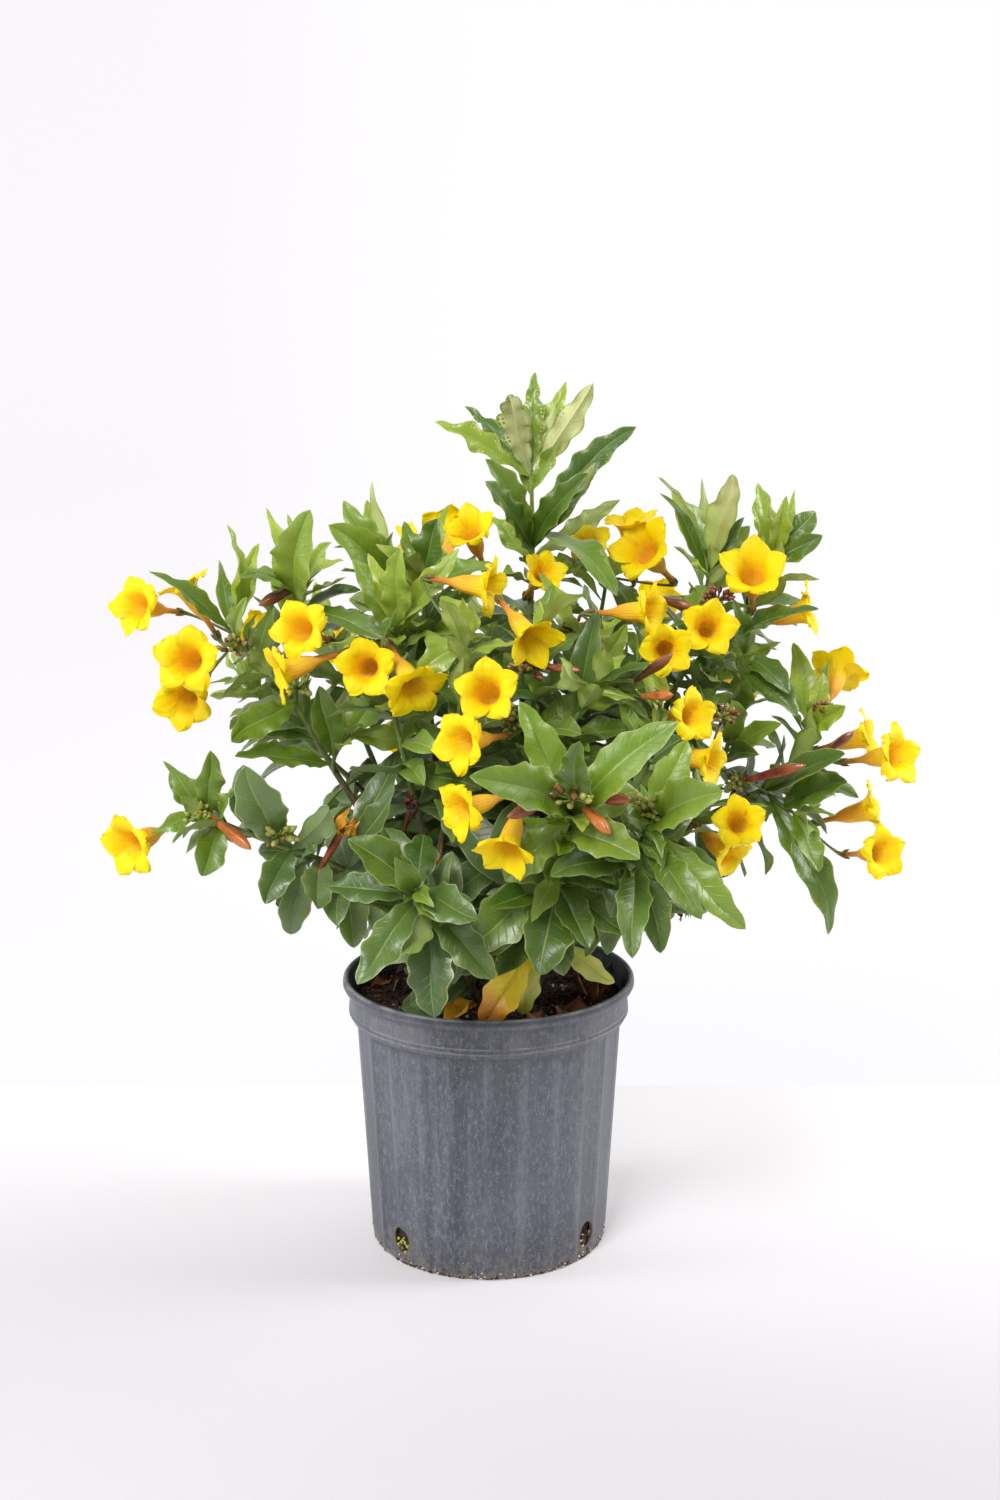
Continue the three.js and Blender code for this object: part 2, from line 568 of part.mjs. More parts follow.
function crowdBloom(crowd, row) {
  const name = row[0];
  const frame = bloomFrame(row);
  for (let k = 0; k < STALK_SAMPLES; k += 1) {
    crowd.put(plus(frame.mouth, times(frame.axis, -STEM_SAMPLE * k)), 'petal', name);
  }
  for (const [radius, count] of PETAL_RINGS) {
    for (let i = 0; i < count; i += 1) {
      const a = 2 * Math.PI * i / count;
      const u = times(frame.side, Math.cos(a) * radius * frame.size);
      const v = times(frame.other, Math.sin(a) * radius * frame.size);
      crowd.put(plus(plus(frame.mouth, plus(u, v)), times(frame.axis, radius * 0.12)), 'petal', name);
    }
  }
  for (const ahead of AIR_AHEAD) {
    crowd.put(plus(frame.mouth, times(frame.axis, ahead)), 'air', name);
  }
  const stalk = stalkCurve(frame);
  for (let i = 0; i < STALK_SAMPLES; i += 1) {
    crowd.put(stalk(i / (STALK_SAMPLES - 1)), 'stalk', frame.cane);
  }
  if (frame.axis.y < 0.2 && !HIDDEN_BLOOMS.includes(name)) {
    const [x, z] = flatPlace(frame.mouth);
    crowd.faces.push({ x, z, depth: frame.mouth.y + 6, reach: CLEAR_FRONT * frame.size });
  }
}

function makeCrowd() {
  const crowd = new Crowd();
  for (const [cane, branches] of Object.entries(CANES)) {
    for (const branch of branches) {
      for (const place of along(branch, STEM_SAMPLE)) {
        crowd.put(place, 'stem', cane);
      }
    }
  }
  for (const row of BLOOMS) {
    crowdBloom(crowd, row);
  }
  for (const [cane, tail, tip] of BUDS) {
    for (let i = 0; i < 5; i += 1) {
      crowd.put(between(vec(tail), vec(tip), i / 4), 'stalk', cane);
    }
  }
  return crowd;
}

function settle(crowd, leaf, samples, leaves) {
  for (const { point, t } of samples) {
    crowd.put(point, 'leaf', leaf.cane, t);
  }
  leaves.push(leaf);
}

// The leaves that were placed by eye, each moved a little if its place is taken
function placeNamedLeaves(crowd, leaves) {
  LEAVES.forEach(([cane, foot, tip, width, facing = 'front'], number) => {
    const root = nearestOnCane(vec(foot), cane);
    for (const [index, shift] of SHIFTS.entries()) {
      const end = plus(vec(tip), vec(shift));
      const leaf = makeLeaf(cane, root, end, width, vec(FACINGS[facing]), 100 + number + 977 * (index % 2));
      const samples = leafSamples(leaf);
      if (crowd.isFree(samples, cane, NAMED_CROWDING)) {
        settle(crowd, leaf, samples, leaves);
        return;
      }
    }
  });
}

function isInside([x, z], outline) {
  let odd = false;
  outline.forEach(([x1, z1], i) => {
    const [x2, z2] = outline[(i + 1) % outline.length];
    if ((z1 > z) !== (z2 > z) && x < (x2 - x1) * (z - z1) / (z2 - z1) + x1) {
      odd = !odd;
    }
  });
  return odd;
}

function keepsOutline(samples) {
  for (const i of OUTLINE_SAMPLES) {
    const [x, z] = flatPlace(samples[i].point);
    if (!isInside([x, z], OUTLINE)) return false;
    for (const [u, v, r] of OPEN_PLACES) {
      if ((x - u) ** 2 + (z - v) ** 2 < r * r) return false;
    }
  }
  return true;
}

// One leaf of a whorl, tried at slightly other angles until it stands clear
function whorlLeaf(crowd, cane, spot, turn, seed, reach) {
  const { place, way, back } = spot;
  const draw = draws(seed);
  const lead = Math.abs(way.z) < 0.9 ? vec([0.21, 0.37, 0.9]) : vec([1, 0.2, 0.1]);
  const side = squareTo(lead, way);
  const other = cross(way, side);
  for (let trial = 0; trial < WHORL_TRIALS; trial += 1) {
    const angle = turn + (draw() - 0.5) * (0.5 + 0.12 * trial);
    const out = plus(times(side, Math.cos(angle)), times(other, Math.sin(angle)));
    const spread = 62 - 62 * Math.min(1, back / 170) + 34 * (draw() - 0.5) * (1 + 0.1 * trial);
    const rise = spread * Math.PI / 180;
    const long = (66 + 40 * Math.min(1, back / 120)) * (0.8 + 0.3 * draw()) * (1 - 0.03 * trial) * reach;
    const sag = vec([0, 0, -0.25 * Math.min(1, back / 150) - 0.05]);
    const aim = unit(plus(plus(times(out, Math.cos(rise)), times(way, Math.sin(rise))), sag));
    const width = long * (0.29 + 0.1 * draw());
    const ring = Math.sqrt(place.x ** 2 + place.y ** 2) + 40;
    let up = plus(times(way, 0.4), vec([place.x / ring * 0.6, place.y / ring * 0.6, 0.6]));
    if (cross(up, aim).length() < 0.3) {
      up = times(out, -1);
    }
    const leaf = makeLeaf(cane, place, plus(place, times(aim, long)), width, up, seed + 13 * trial);
    const samples = leafSamples(leaf);
    const fits = keepsOutline(samples) && crowd.showsBlooms(samples);
    if (fits && crowd.isFree(samples, cane, WHORL_CROWDING)) {
      return { leaf, samples };
    }
  }
  return null;
}

// Whorls at even steps back from every tip
function placeWhorls(crowd, leaves, round) {
  let number = 0;
  for (const [cane, branches] of Object.entries(CANES)) {
    for (const branch of branches) {
      const leafy = Math.min(branchLength(branch) - BARE_LENGTH, LEAFY_LENGTH);
      let back = round.start;
      while (back < leafy) {
        number += 1;
        const spot = { ...placeBack(branch, back), back };
        const start = draws(round.seed + number)() * 2 * Math.PI;
        for (let k = 0; k < round.count; k += 1) {
          const turn = start + 2 * Math.PI * k / round.count;
          const seed = round.seed * 4 + number * 61 + k * 17;
          const found = whorlLeaf(crowd, cane, spot, turn, seed, round.reach);
          if (found) {
            settle(crowd, found.leaf, found.samples, leaves);
          }
        }
        back += round.step * (0.75 + 0.25 * Math.min(1, back / 100));
      }
    }
  }
}

// Closed solids from points and triangles
function solid(points, triangles) {
  const vertProperties = new Float32Array(points.flatMap((p) => [p.x, p.y, p.z]));
  const triVerts = new Uint32Array(triangles.flat());
  return new wasm.Manifold(new wasm.Mesh({ numProp: 3, vertProperties, triVerts }));
}

function geometryOf(body) {
  const { vertProperties, triVerts } = body.getMesh();
  const geometry = new THREE.BufferGeometry();
  geometry.setAttribute('position', new THREE.BufferAttribute(new Float32Array(vertProperties), 3));
  geometry.setIndex(new THREE.BufferAttribute(new Uint32Array(triVerts), 1));
  return geometry;
}

// A skin over rings that all have the same number of points, closed by a fan at each end
function loft(rings) {
  const sides = rings[0].length;
  const points = rings.flat();
  const triangles = [];
  for (let r = 0; r + 1 < rings.length; r += 1) {
    for (let i = 0; i < sides; i += 1) {
      const a = r * sides + i;
      const b = r * sides + (i + 1) % sides;
      triangles.push([a, b, b + sides], [a, b + sides, a + sides]);
    }
  }
  const last = points.length - sides;
  for (let i = 1; i + 1 < sides; i += 1) {
    triangles.push([0, i + 1, i], [last, last + i, last + i + 1]);
  }
  return solid(points, triangles);
}

function ringRound(centre, way, radius, sides, lead) {
  const side = squareTo(lead, way);
  const other = cross(way, side);
  const ring = [];
  for (let i = 0; i < sides; i += 1) {
    const a = 2 * Math.PI * i / sides;
    ring.push(plus(centre, plus(times(side, Math.cos(a) * radius), times(other, Math.sin(a) * radius))));
  }
  return ring;
}

// A tapering rod through points, with a radius at each
function rod(points, radii, sides) {
  let lead = vec([0.31, 0.87, 0.12]);
  const rings = points.map((point, i) => {
    const from = points[Math.max(0, i - 1)];
    const to = points[Math.min(points.length - 1, i + 1)];
    const way = unit(minus(to, from));
    const ring = ringRound(point, way, radii[i], sides, lead);
    lead = minus(ring[0], point);
    return ring;
  });
  return loft(rings);
}

function stemRadii(branch, extra) {
  return branch.map((_, i) => STEM_TIP_RADIUS + STEM_TAPER * branchLength(branch.slice(i)) + extra);
}

function stemSolid(branch, extra = 0) {
  return rod(branch.map(vec), stemRadii(branch, extra), STEM_SIDES);
}

// A thin blade: ribs of four points that share their edge points, and a point at each end
function leafSolid(leaf) {
  const points = [leafPoint(leaf, 0, 0)];
  for (const t of RIBS) {
    const frame = leafFrame(leaf, t);
    points.push(leafPoint(leaf, t, -1));
    points.push(plus(frame.middle, times(frame.up, BLADE_RISE)));
    points.push(leafPoint(leaf, t, 1));
    points.push(plus(frame.middle, times(frame.up, -BLADE_RISE)));
  }
  points.push(leafPoint(leaf, 1, 0));
  const tip = points.length - 1;
  const triangles = [];
  for (let i = 0; i < 4; i += 1) {
    const j = (i + 1) % 4;
    triangles.push([0, 1 + j, 1 + i], [tip, tip - 4 + i, tip - 4 + j]);
  }
  for (let r = 0; r + 1 < RIBS.length; r += 1) {
    const [left, top, right, under] = [1, 2, 3, 4].map((i) => i + 4 * r);
    triangles.push([left, top + 4, left + 4], [left, top, top + 4]);
    triangles.push([right, top + 4, top], [right, right + 4, top + 4]);
    triangles.push([left, left + 4, under + 4], [left, under + 4, under]);
    triangles.push([right, under, under + 4], [right, under + 4, right + 4]);
  }
  return solid(points, triangles);
}

// A flower stalk that widens into the calyx
function stalkSolid(row) {
  const frame = bloomFrame(row);
  const curve = stalkCurve(frame);
  const seat = plus(frame.base, times(frame.axis, -GAP));
  const points = [curve(0), plus(seat, times(frame.axis, -8)), seat];
  return rod(points, [STALK_RADIUS, STALK_RADIUS + 0.5, CALYX_RADIUS], STEM_SIDES);
}

// A closed bud: a spindle, thin at its tail
function budSolid([, tail, tip, radius], cane) {
  const a = vec(tail);
  const b = vec(tip);
  const root = nearestOnCane(a, cane);
  const points = [root, between(root, a, 0.8), between(a, b, 0.5), between(a, b, 0.95)];
  return rod(points, [1, 1.5, radius, 0.8], 5);
}

function joined(solids) {
  return solids.reduce((all, next) => all.add(next));
}

function caneSolid(cane, leaves) {
  const solids = CANES[cane].map((branch) => stemSolid(branch));
  solids.push(...leaves.filter((leaf) => leaf.cane === cane).map(leafSolid));
  solids.push(...BLOOMS.filter((row) => row[1] === cane).map(stalkSolid));
  solids.push(...BUDS.filter((bud) => bud[0] === cane).map((bud) => budSolid(bud, cane)));
  return joined(solids);
}

// A corolla: a five-sided tube that widens to a hollow throat with five spread lobes
function bloomSolid(row) {
  const { mouth, axis, side, other, base, size, roll } = bloomFrame(row);
  const place = (radius, degrees, ahead) => {
    const a = (degrees + roll) * Math.PI / 180;
    const u = times(side, Math.cos(a) * radius * size);
    const v = times(other, Math.sin(a) * radius * size);
    return plus(plus(mouth, times(axis, ahead * size)), plus(u, v));
  };
  const points = [];
  const add = (point) => points.push(point) - 1;
  const five = (radius, ahead, turn) => [0, 1, 2, 3, 4].map((i) => add(place(radius, 72 * i + turn, ahead)));
  const foot = five(TUBE_RADIUS, -BLOOM_LENGTH, 0);
  const swell = five(7.4, -26, 0);
  const back = five(THROAT_RADIUS + 1.8, -3, 0);
  const front = five(THROAT_RADIUS - 0.6, -0.6, 0);
  const sinus = five(THROAT_RADIUS + 3, 0, 36);
  const left = five(BLOOM_RADIUS * 0.88, 1.5, -25);
  const peak = five(BLOOM_RADIUS, 2.5, 0);
  const right = five(BLOOM_RADIUS * 0.88, 4, 25);
  const depth = add(place(0, 0, -24));
  const triangles = [[foot[0], foot[2], foot[1]], [foot[0], foot[3], foot[2]], [foot[0], foot[4], foot[3]]];
  for (let i = 0; i < 5; i += 1) {
    const j = (i + 1) % 5;
    const h = (i + 4) % 5;
    triangles.push([foot[i], foot[j], swell[j]], [foot[i], swell[j], swell[i]]);
    triangles.push([swell[i], swell[j], sinus[i]]);
    triangles.push([swell[i], sinus[i], back[i]], [swell[j], back[j], sinus[i]]);
    const edge = [sinus[h], left[i], peak[i], right[i], sinus[i]];
    for (let k = 0; k < 4; k += 1) {
      triangles.push([front[i], edge[k], edge[k + 1]], [back[i], edge[k + 1], edge[k]]);
    }
    triangles.push([depth, front[i], sinus[i]], [depth, sinus[h], front[i]]);
  }
  return solid(points, triangles);
}

// Rings about the Z axis, stitched even where their counts differ
function circle(radius, z, count, dent = 0) {
  const ring = [];
  for (let i = 0; i < count; i += 1) {
    const a = 2 * Math.PI * i / count;
    const r = radius - (i % 2 === 1 ? dent : 0);
    ring.push(vec([r * Math.cos(a), r * Math.sin(a), z]));
  }
  return ring;
}

function stitch(lower, upper, start, triangles) {
  const lowCount = lower.length;
  const highCount = upper.length;
  const high = start + lowCount;
  let i = 0;
  let j = 0;
  while (i < lowCount || j < highCount) {
    const a = start + i % lowCount;
    const b = high + j % highCount;
    if (j === highCount || (i < lowCount && (i + 1) * highCount <= (j + 1) * lowCount)) {
      triangles.push([a, start + (i + 1) % lowCount, b]);
      i += 1;
    } else {
      triangles.push([a, high + (j + 1) % highCount, b]);
      j += 1;
    }
  }
}

function turnedSolid(rings) {
  const triangles = [];
  let start = 0;
  for (let r = 0; r + 1 < rings.length; r += 1) {
    stitch(rings[r], rings[r + 1], start, triangles);
    start += rings[r].length;
  }
  const first = rings[0].length;
  const last = rings[rings.length - 1].length;
  for (let i = 1; i + 1 < first; i += 1) {
    triangles.push([0, i + 1, i]);
  }
  for (let i = 1; i + 1 < last; i += 1) {
    triangles.push([start, start + i, start + i + 1]);
  }
  return solid(rings.flat(), triangles);
}

// The inner faces of the pot, also followed by the potting mix, from the rim down
const INNER = [
  [RIM_RADIUS - 4.7, POT_HEIGHT],
  [BAND_RADIUS - WALL - 0.4, BAND_TOP],
  [BODY_TOP_RADIUS - WALL, BODY_TOP],
  [BODY_FOOT_RADIUS - WALL, FLOOR_THICKNESS],
];

function drainSolid(degrees) {
  const a = degrees * Math.PI / 180 - Math.PI / 2;
  const way = vec([Math.cos(a), Math.sin(a), 0]);
  const flat = vec([-way.y, way.x, 0]);
  const rings = [90, 125].map((radius) => {
    const ring = [];
    for (let i = 0; i < 8; i += 1) {
      const b = 2 * Math.PI * (i + 0.5) / 8;
      const u = times(flat, Math.cos(b) * DRAIN_WIDTH / 2);
      const v = vec([0, 0, Math.sin(b) * DRAIN_TALL / 2 + DRAIN_HEIGHT]);
      ring.push(plus(plus(times(way, radius), u), v));
    }
    return ring;
  });
  return loft(rings);
}

function potSolid() {
  const fluted = FLUTES * 2;
  const rings = [
    circle(BODY_FOOT_RADIUS - 2, 0, FLUTES),
    circle(BODY_FOOT_RADIUS, FLOOR_THICKNESS, fluted, FLUTE_DEPTH),
    circle(BODY_TOP_RADIUS, BODY_TOP, fluted, FLUTE_DEPTH),
    circle(BAND_RADIUS - 0.8, BAND_FOOT, FLUTES),
    circle(BAND_RADIUS, BAND_TOP, FLUTES),
    circle(RIM_RADIUS, BAND_TOP + 2, FLUTES),
    circle(RIM_RADIUS - 1, POT_HEIGHT, FLUTES),
    ...INNER.map(([radius, z]) => circle(radius, z, FLUTES)),
  ];
  return DRAINS.reduce((pot, degrees) => pot.subtract(drainSolid(degrees)), turnedSolid(rings));
}

function soilSolid() {
  const wall = INNER.slice(1).reverse().map(([radius, z]) => [radius - GAP * 1.3, z]);
  wall[0][1] += GAP;
  wall[2] = [wall[1][0] + (wall[2][0] - wall[1][0]) * SOIL_SHARE, SOIL_TOP];
  const rings = wall.map(([radius, z]) => circle(radius, z, FLUTES));
  const draw = draws(31);
  for (const [radius, rise, count] of [[88, 2, 16], [46, SOIL_MOUND, 8]]) {
    const ring = circle(radius, SOIL_TOP + rise, count);
    rings.push(ring.map((p) => vec([p.x, p.y, p.z + 2.5 * (draw() - 0.5)])));
  }
  const holes = Object.values(CANES).map(([branch]) => {
    const foot = vec(branch[0]);
    const way = unit(minus(vec(branch[1]), foot));
    const deeper = plus(foot, times(way, -GAP));
    const radii = stemRadii(branch, GAP);
    return rod([deeper, vec(branch[1])], [radii[0], radii[1]], STEM_SIDES);
  });
  return holes.reduce((soil, hole) => soil.subtract(hole), turnedSolid(rings));
}

// A dead leaf, let down until it lies a hair above the potting mix
function fallenSolid([, foot, tip, width], soil, number) {
  const lift = vec([0, 0, SOIL_TOP + SOIL_MOUND]);
  const leaf = makeLeaf('', plus(vec(foot), lift), plus(vec(tip), lift), width, vec([0, 0, 1]), 60 + number);
  const body = leafSolid(leaf);
  const ground = new THREE.Mesh(geometryOf(soil), new THREE.MeshBasicMaterial());
  const ray = new THREE.Raycaster();
  const { vertProperties } = body.getMesh();
  let room = Infinity;
  for (let i = 0; i < vertProperties.length; i += 3) {
    ray.set(vec(vertProperties.slice(i, i + 3)), vec([0, 0, -1]));
    const [hit] = ray.intersectObject(ground);
    room = Math.min(room, hit ? hit.distance : room);
  }
  return body.translate([0, 0, GAP - room]);
}

function mesh(name, body, color, roughness) {
  const material = new THREE.MeshStandardMaterial({ color, roughness, metalness: 0 });
  const object = new THREE.Mesh(geometryOf(body), material);
  object.name = name;
  return object;
}

function bloomMeshes() {
  const names = [...new Set(BLOOMS.map((row) => row[0]))];
  return names.map((name) => {
    const corollas = BLOOMS.filter((row) => row[0] === name).map(bloomSolid);
    return mesh(name, joined(corollas), COLOURS.bloom, 0.45);
  });
}

function build() {
  const crowd = makeCrowd();
  const leaves = [];
  placeNamedLeaves(crowd, leaves);
  placeWhorls(crowd, leaves, LARGE_WHORLS);
  const plant = new THREE.Group();
  plant.add(mesh('pot', potSolid(), COLOURS.pot, 0.6));
  const soil = soilSolid();
  plant.add(mesh('soil', soil, COLOURS.soil, 0.95));
  FALLEN.forEach((row, number) => {
    plant.add(mesh(row[0], fallenSolid(row, soil, number), COLOURS.fallen, 0.8));
  });
  for (const cane of Object.keys(CANES)) {
    plant.add(mesh(`cane_${cane}`, caneSolid(cane, leaves), COLOURS.cane, 0.5));
  }
  for (const bloom of bloomMeshes()) {
    plant.add(bloom);
  }
  return plant;
}

export default build();
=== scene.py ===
"""A bush allamanda in bloom in a ribbed nursery pot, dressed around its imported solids.

The tables and the growing rule are those of the solids' source, in millimetres, so every fine leaf and
bloom lies where its solid does. Blender's pieces are in metres, in the same frame.
"""
import math
from collections import defaultdict

import bpy
import numpy as np
from bpy.props import FloatProperty, FloatVectorProperty, IntProperty, PointerProperty
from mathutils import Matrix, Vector, noise


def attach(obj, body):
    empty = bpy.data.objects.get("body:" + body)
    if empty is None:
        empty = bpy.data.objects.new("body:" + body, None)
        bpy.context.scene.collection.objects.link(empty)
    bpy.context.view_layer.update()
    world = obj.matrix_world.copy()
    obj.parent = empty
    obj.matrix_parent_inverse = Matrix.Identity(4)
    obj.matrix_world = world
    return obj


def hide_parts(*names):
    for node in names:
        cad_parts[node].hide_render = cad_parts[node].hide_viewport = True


bl_info = {
    "name": "Potted allamanda",
    "version": (1, 0, 0),
    "blender": (4, 5, 0),
    "location": "3D View > Sidebar > Allamanda",
    "description": "Fine leaves, blooms, pot and potting mix around the packed plant",
    "category": "Object",
}

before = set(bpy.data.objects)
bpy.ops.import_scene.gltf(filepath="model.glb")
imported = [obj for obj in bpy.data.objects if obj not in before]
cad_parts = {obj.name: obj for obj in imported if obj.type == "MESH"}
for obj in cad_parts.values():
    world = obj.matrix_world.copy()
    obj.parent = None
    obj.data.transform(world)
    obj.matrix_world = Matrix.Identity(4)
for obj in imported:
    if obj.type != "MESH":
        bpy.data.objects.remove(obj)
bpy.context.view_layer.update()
MM = 0.001

# Sizes shared with the solids
POT_HEIGHT = 241
RIM_RADIUS = 127.7
BAND_RADIUS = 122.3
BODY_TOP_RADIUS = 116.5
BODY_TOP = 203
BODY_FOOT_RADIUS = 105
WALL = 2.5
FLOOR_THICKNESS = 3
FLUTES = 24
DRAINS = [-46, 54, 134, 234]
DRAIN_HEIGHT = 22
DRAIN_WIDTH = 18
DRAIN_TALL = 23
SOIL_TOP = 217
SOIL_MOUND = 5
STEM_TIP_RADIUS = 1.5
STEM_TAPER = 0.0075
BLOOM_LENGTH = 58
BLOOM_RADIUS = 26
THROAT_RADIUS = 9.5
EYE = [10, -1630, 787]

# Floor, in metres: half its width, and how far behind the pot it ends
HALF_FLOOR = 9.0
FLOOR_BACK = 0.338

# How near a leaf may come to each kind of thing already in the crowd, and, as its crowding, to another
# leaf of its cane near their feet
NEAR = {"stem": 8, "leaf": 8, "petal": 9, "air": 15, "stalk": 8}
NEAR_SMALL = {"stem": 3, "leaf": 6, "petal": 7, "air": 13, "stalk": 4}
NEAR_EXTRA = {"stem": 2, "leaf": 3, "petal": 4, "air": 8, "stalk": 2.5}
NAMED = {"seeds": [100, 1077], "crowding": 2.5, "near": NEAR}
EXTRA = {"seeds": [4400, 4400], "crowding": 1, "near": NEAR_EXTRA}
LARGE_WHORL = {"breadth": 0.29, "crowding": 5.5, "near": NEAR}
LARGE_WHORLS = {"start": 14, "step": 230, "count": 3, "reach": 1, "seed": 5900, **LARGE_WHORL}
SMALL_WHORL = {"breadth": 0.37, "crowding": 1.5, "near": NEAR_SMALL}
SMALL_WHORLS = [
    {"start": 6, "step": 30, "count": 4, "reach": 0.74, "seed": 7300, **SMALL_WHORL},
    {"start": 22, "step": 44, "count": 3, "reach": 0.6, "seed": 8200, **SMALL_WHORL},
]
WHORL_TRIALS = 14
LEAFY_LENGTH = 230
BARE_LENGTH = 35

# How far along a leaf it may touch its own stem, and its own flower stalks
LEAF_FOOT = 0.4
STALK_FOOT = 0.3

# The crowd's cells, the samples of what stands in it, and what is kept open to view
CELL = 16
STEM_SAMPLE = 6
STALK_SAMPLES = 11
PETAL_RINGS = [[11, 6], [19, 10], [25, 14]]
AIR_AHEAD = [14, 28]
CLEAR_FRONT = 24
SHOWN_STEM_WIDTH = 10
SHOWN_STEM_SPOTS = 8
POT_CLEARANCE = {"radius": 150, "height": 235}
LEAF_STATIONS = [0.2, 0.35, 0.5, 0.65, 0.8]
LEAF_TIP_STATIONS = [0.97, 0.88]
LEAF_SPREAD = [-1, -0.5, 0, 0.5, 1]
OUTLINE_SAMPLES = [7, 12, 20, 24, 25]

# Ruffled margins: stronger on the tall cane, and elsewhere held to a share of a leaf's width
RUFFLE_MORE = 0.3
RUFFLE_SHARE = 0.075
WAVE_SHARE = 0.085
RUFFLES_GAIN = 1.4
RUFFLE_LENGTH = 17
TALL_RUFFLE = {"gain": 1.3, "more": 1.6, "ruffles": 1.2}
CRUMPLED_RUFFLES = 4.6

# Seeds of the draws that dress the solids
FALLEN_SEED = 60
BUD_SEED = 77
DEAD_SEED = 80
STALK_SEED = 400
LITTER_SEED = 901
BLOOM_SEED = 3000
SPENT_SEED = 6100

# Canes: the line of each branch, from the potting mix to its tip
CANES = {
  "left_crest": [
    [[-22, 6, 190], [-30, 4, 250], [-80, -12, 345], [-130, -35, 430], [-160, -45, 490], [-190, -45, 525],
      [-215, -40, 552]],
    [[-160, -45, 490], [-160, -30, 540], [-154, -36, 590]],
    [[-130, -35, 430], [-128, -60, 448], [-112, -62, 470]],
  ],
  "left_low": [
    [[-24, -14, 190], [-32, -20, 245], [-75, -60, 315], [-115, -90, 360], [-165, -105, 382],
      [-205, -95, 395], [-238, -90, 410]],
  ],
  "left_peak": [
    [[-10, 12, 190], [-14, 8, 260], [-40, -5, 380], [-50, -12, 480], [-52, -20, 560], [-55, -20, 598]],
    [[-48, -10, 460], [-66, 0, 540], [-88, 10, 600]],
    [[-50, -12, 480], [-68, -45, 525], [-76, -62, 560]],
  ],
  "mid_left": [
    [[-10, -12, 190], [-18, -25, 255], [-45, -65, 350], [-62, -95, 430], [-76, -110, 500], [-85, -115, 545]],
    [[-45, -65, 350], [-30, -110, 420], [-22, -120, 500], [-16, -115, 555]],
  ],
  "tall": [
    [[2, 6, 190], [4, 6, 260], [18, 6, 380], [32, 8, 500], [38, 10, 600], [36, 10, 690]],
  ],
  "heart": [
    [[8, -14, 190], [12, -30, 260], [26, -80, 360], [34, -115, 450], [38, -118, 530], [40, -112, 560]],
    [[30, -98, 405], [60, -120, 470], [85, -130, 525]],
  ],
  "front": [
    [[12, -28, 190], [20, -50, 250], [42, -120, 330], [58, -185, 395], [64, -222, 440]],
    [[20, -50, 250], [38, -100, 300], [52, -150, 350], [56, -162, 372]],
  ],
  "front_right": [
    [[24, -18, 190], [34, -34, 250], [80, -100, 325], [108, -165, 375], [124, -205, 432]],
    [[80, -100, 325], [112, -135, 400], [128, -150, 470], [136, -142, 512]],
    [[108, -165, 375], [140, -138, 398], [166, -110, 422]],
  ],
  "upper_right": [
    [[16, -2, 190], [20, -4, 260], [40, -18, 370], [62, -42, 460], [76, -60, 545]],
    [[40, -18, 370], [70, 24, 470], [96, 46, 540], [104, 50, 590]],
    [[62, -42, 460], [110, -60, 510], [140, -70, 545]],
  ],
  "right_peak": [
    [[24, 8, 190], [34, 10, 255], [85, 12, 350], [135, 6, 440], [172, 2, 520], [188, 0, 600]],
    [[135, 6, 440], [190, 14, 505], [225, 28, 560], [247, 40, 606]],
  ],
  "right_shoulder": [
    [[32, -2, 190], [44, -4, 245], [115, -4, 320], [180, -4, 380], [235, -12, 408], [268, -10, 430],
      [278, 0, 462]],
    [[180, -4, 380], [205, -4, 440], [216, 0, 500], [218, 0, 528]],
    [[235, -12, 408], [250, -30, 398], [262, -40, 392]],
  ],
  "front_left": [
    [[-6, -30, 190], [-12, -50, 245], [-30, -115, 300], [-46, -165, 345], [-55, -200, 375]],
  ],
  "back_left": [
    [[-18, 24, 190], [-28, 36, 255], [-75, 90, 340], [-120, 135, 430], [-150, 165, 520]],
    [[-75, 90, 340], [-130, 90, 400], [-190, 95, 450], [-225, 95, 490]],
  ],
  "back_centre": [
    [[0, 34, 190], [2, 48, 255], [6, 110, 350], [4, 165, 430], [0, 200, 510]],
    [[6, 110, 350], [-20, 110, 450], [-30, 105, 550], [-30, 100, 600]],
    [[2, 48, 255], [14, 70, 275], [24, 130, 300], [30, 190, 350], [35, 230, 400]],
    [[14, 70, 275], [-20, 120, 290], [-60, 175, 340], [-80, 205, 390]],
  ],
  "back_right": [
    [[20, 26, 190], [30, 38, 255], [80, 95, 340], [120, 140, 430], [145, 170, 520]],
    [[80, 95, 340], [140, 85, 400], [195, 90, 460], [220, 90, 510]],
  ],
}

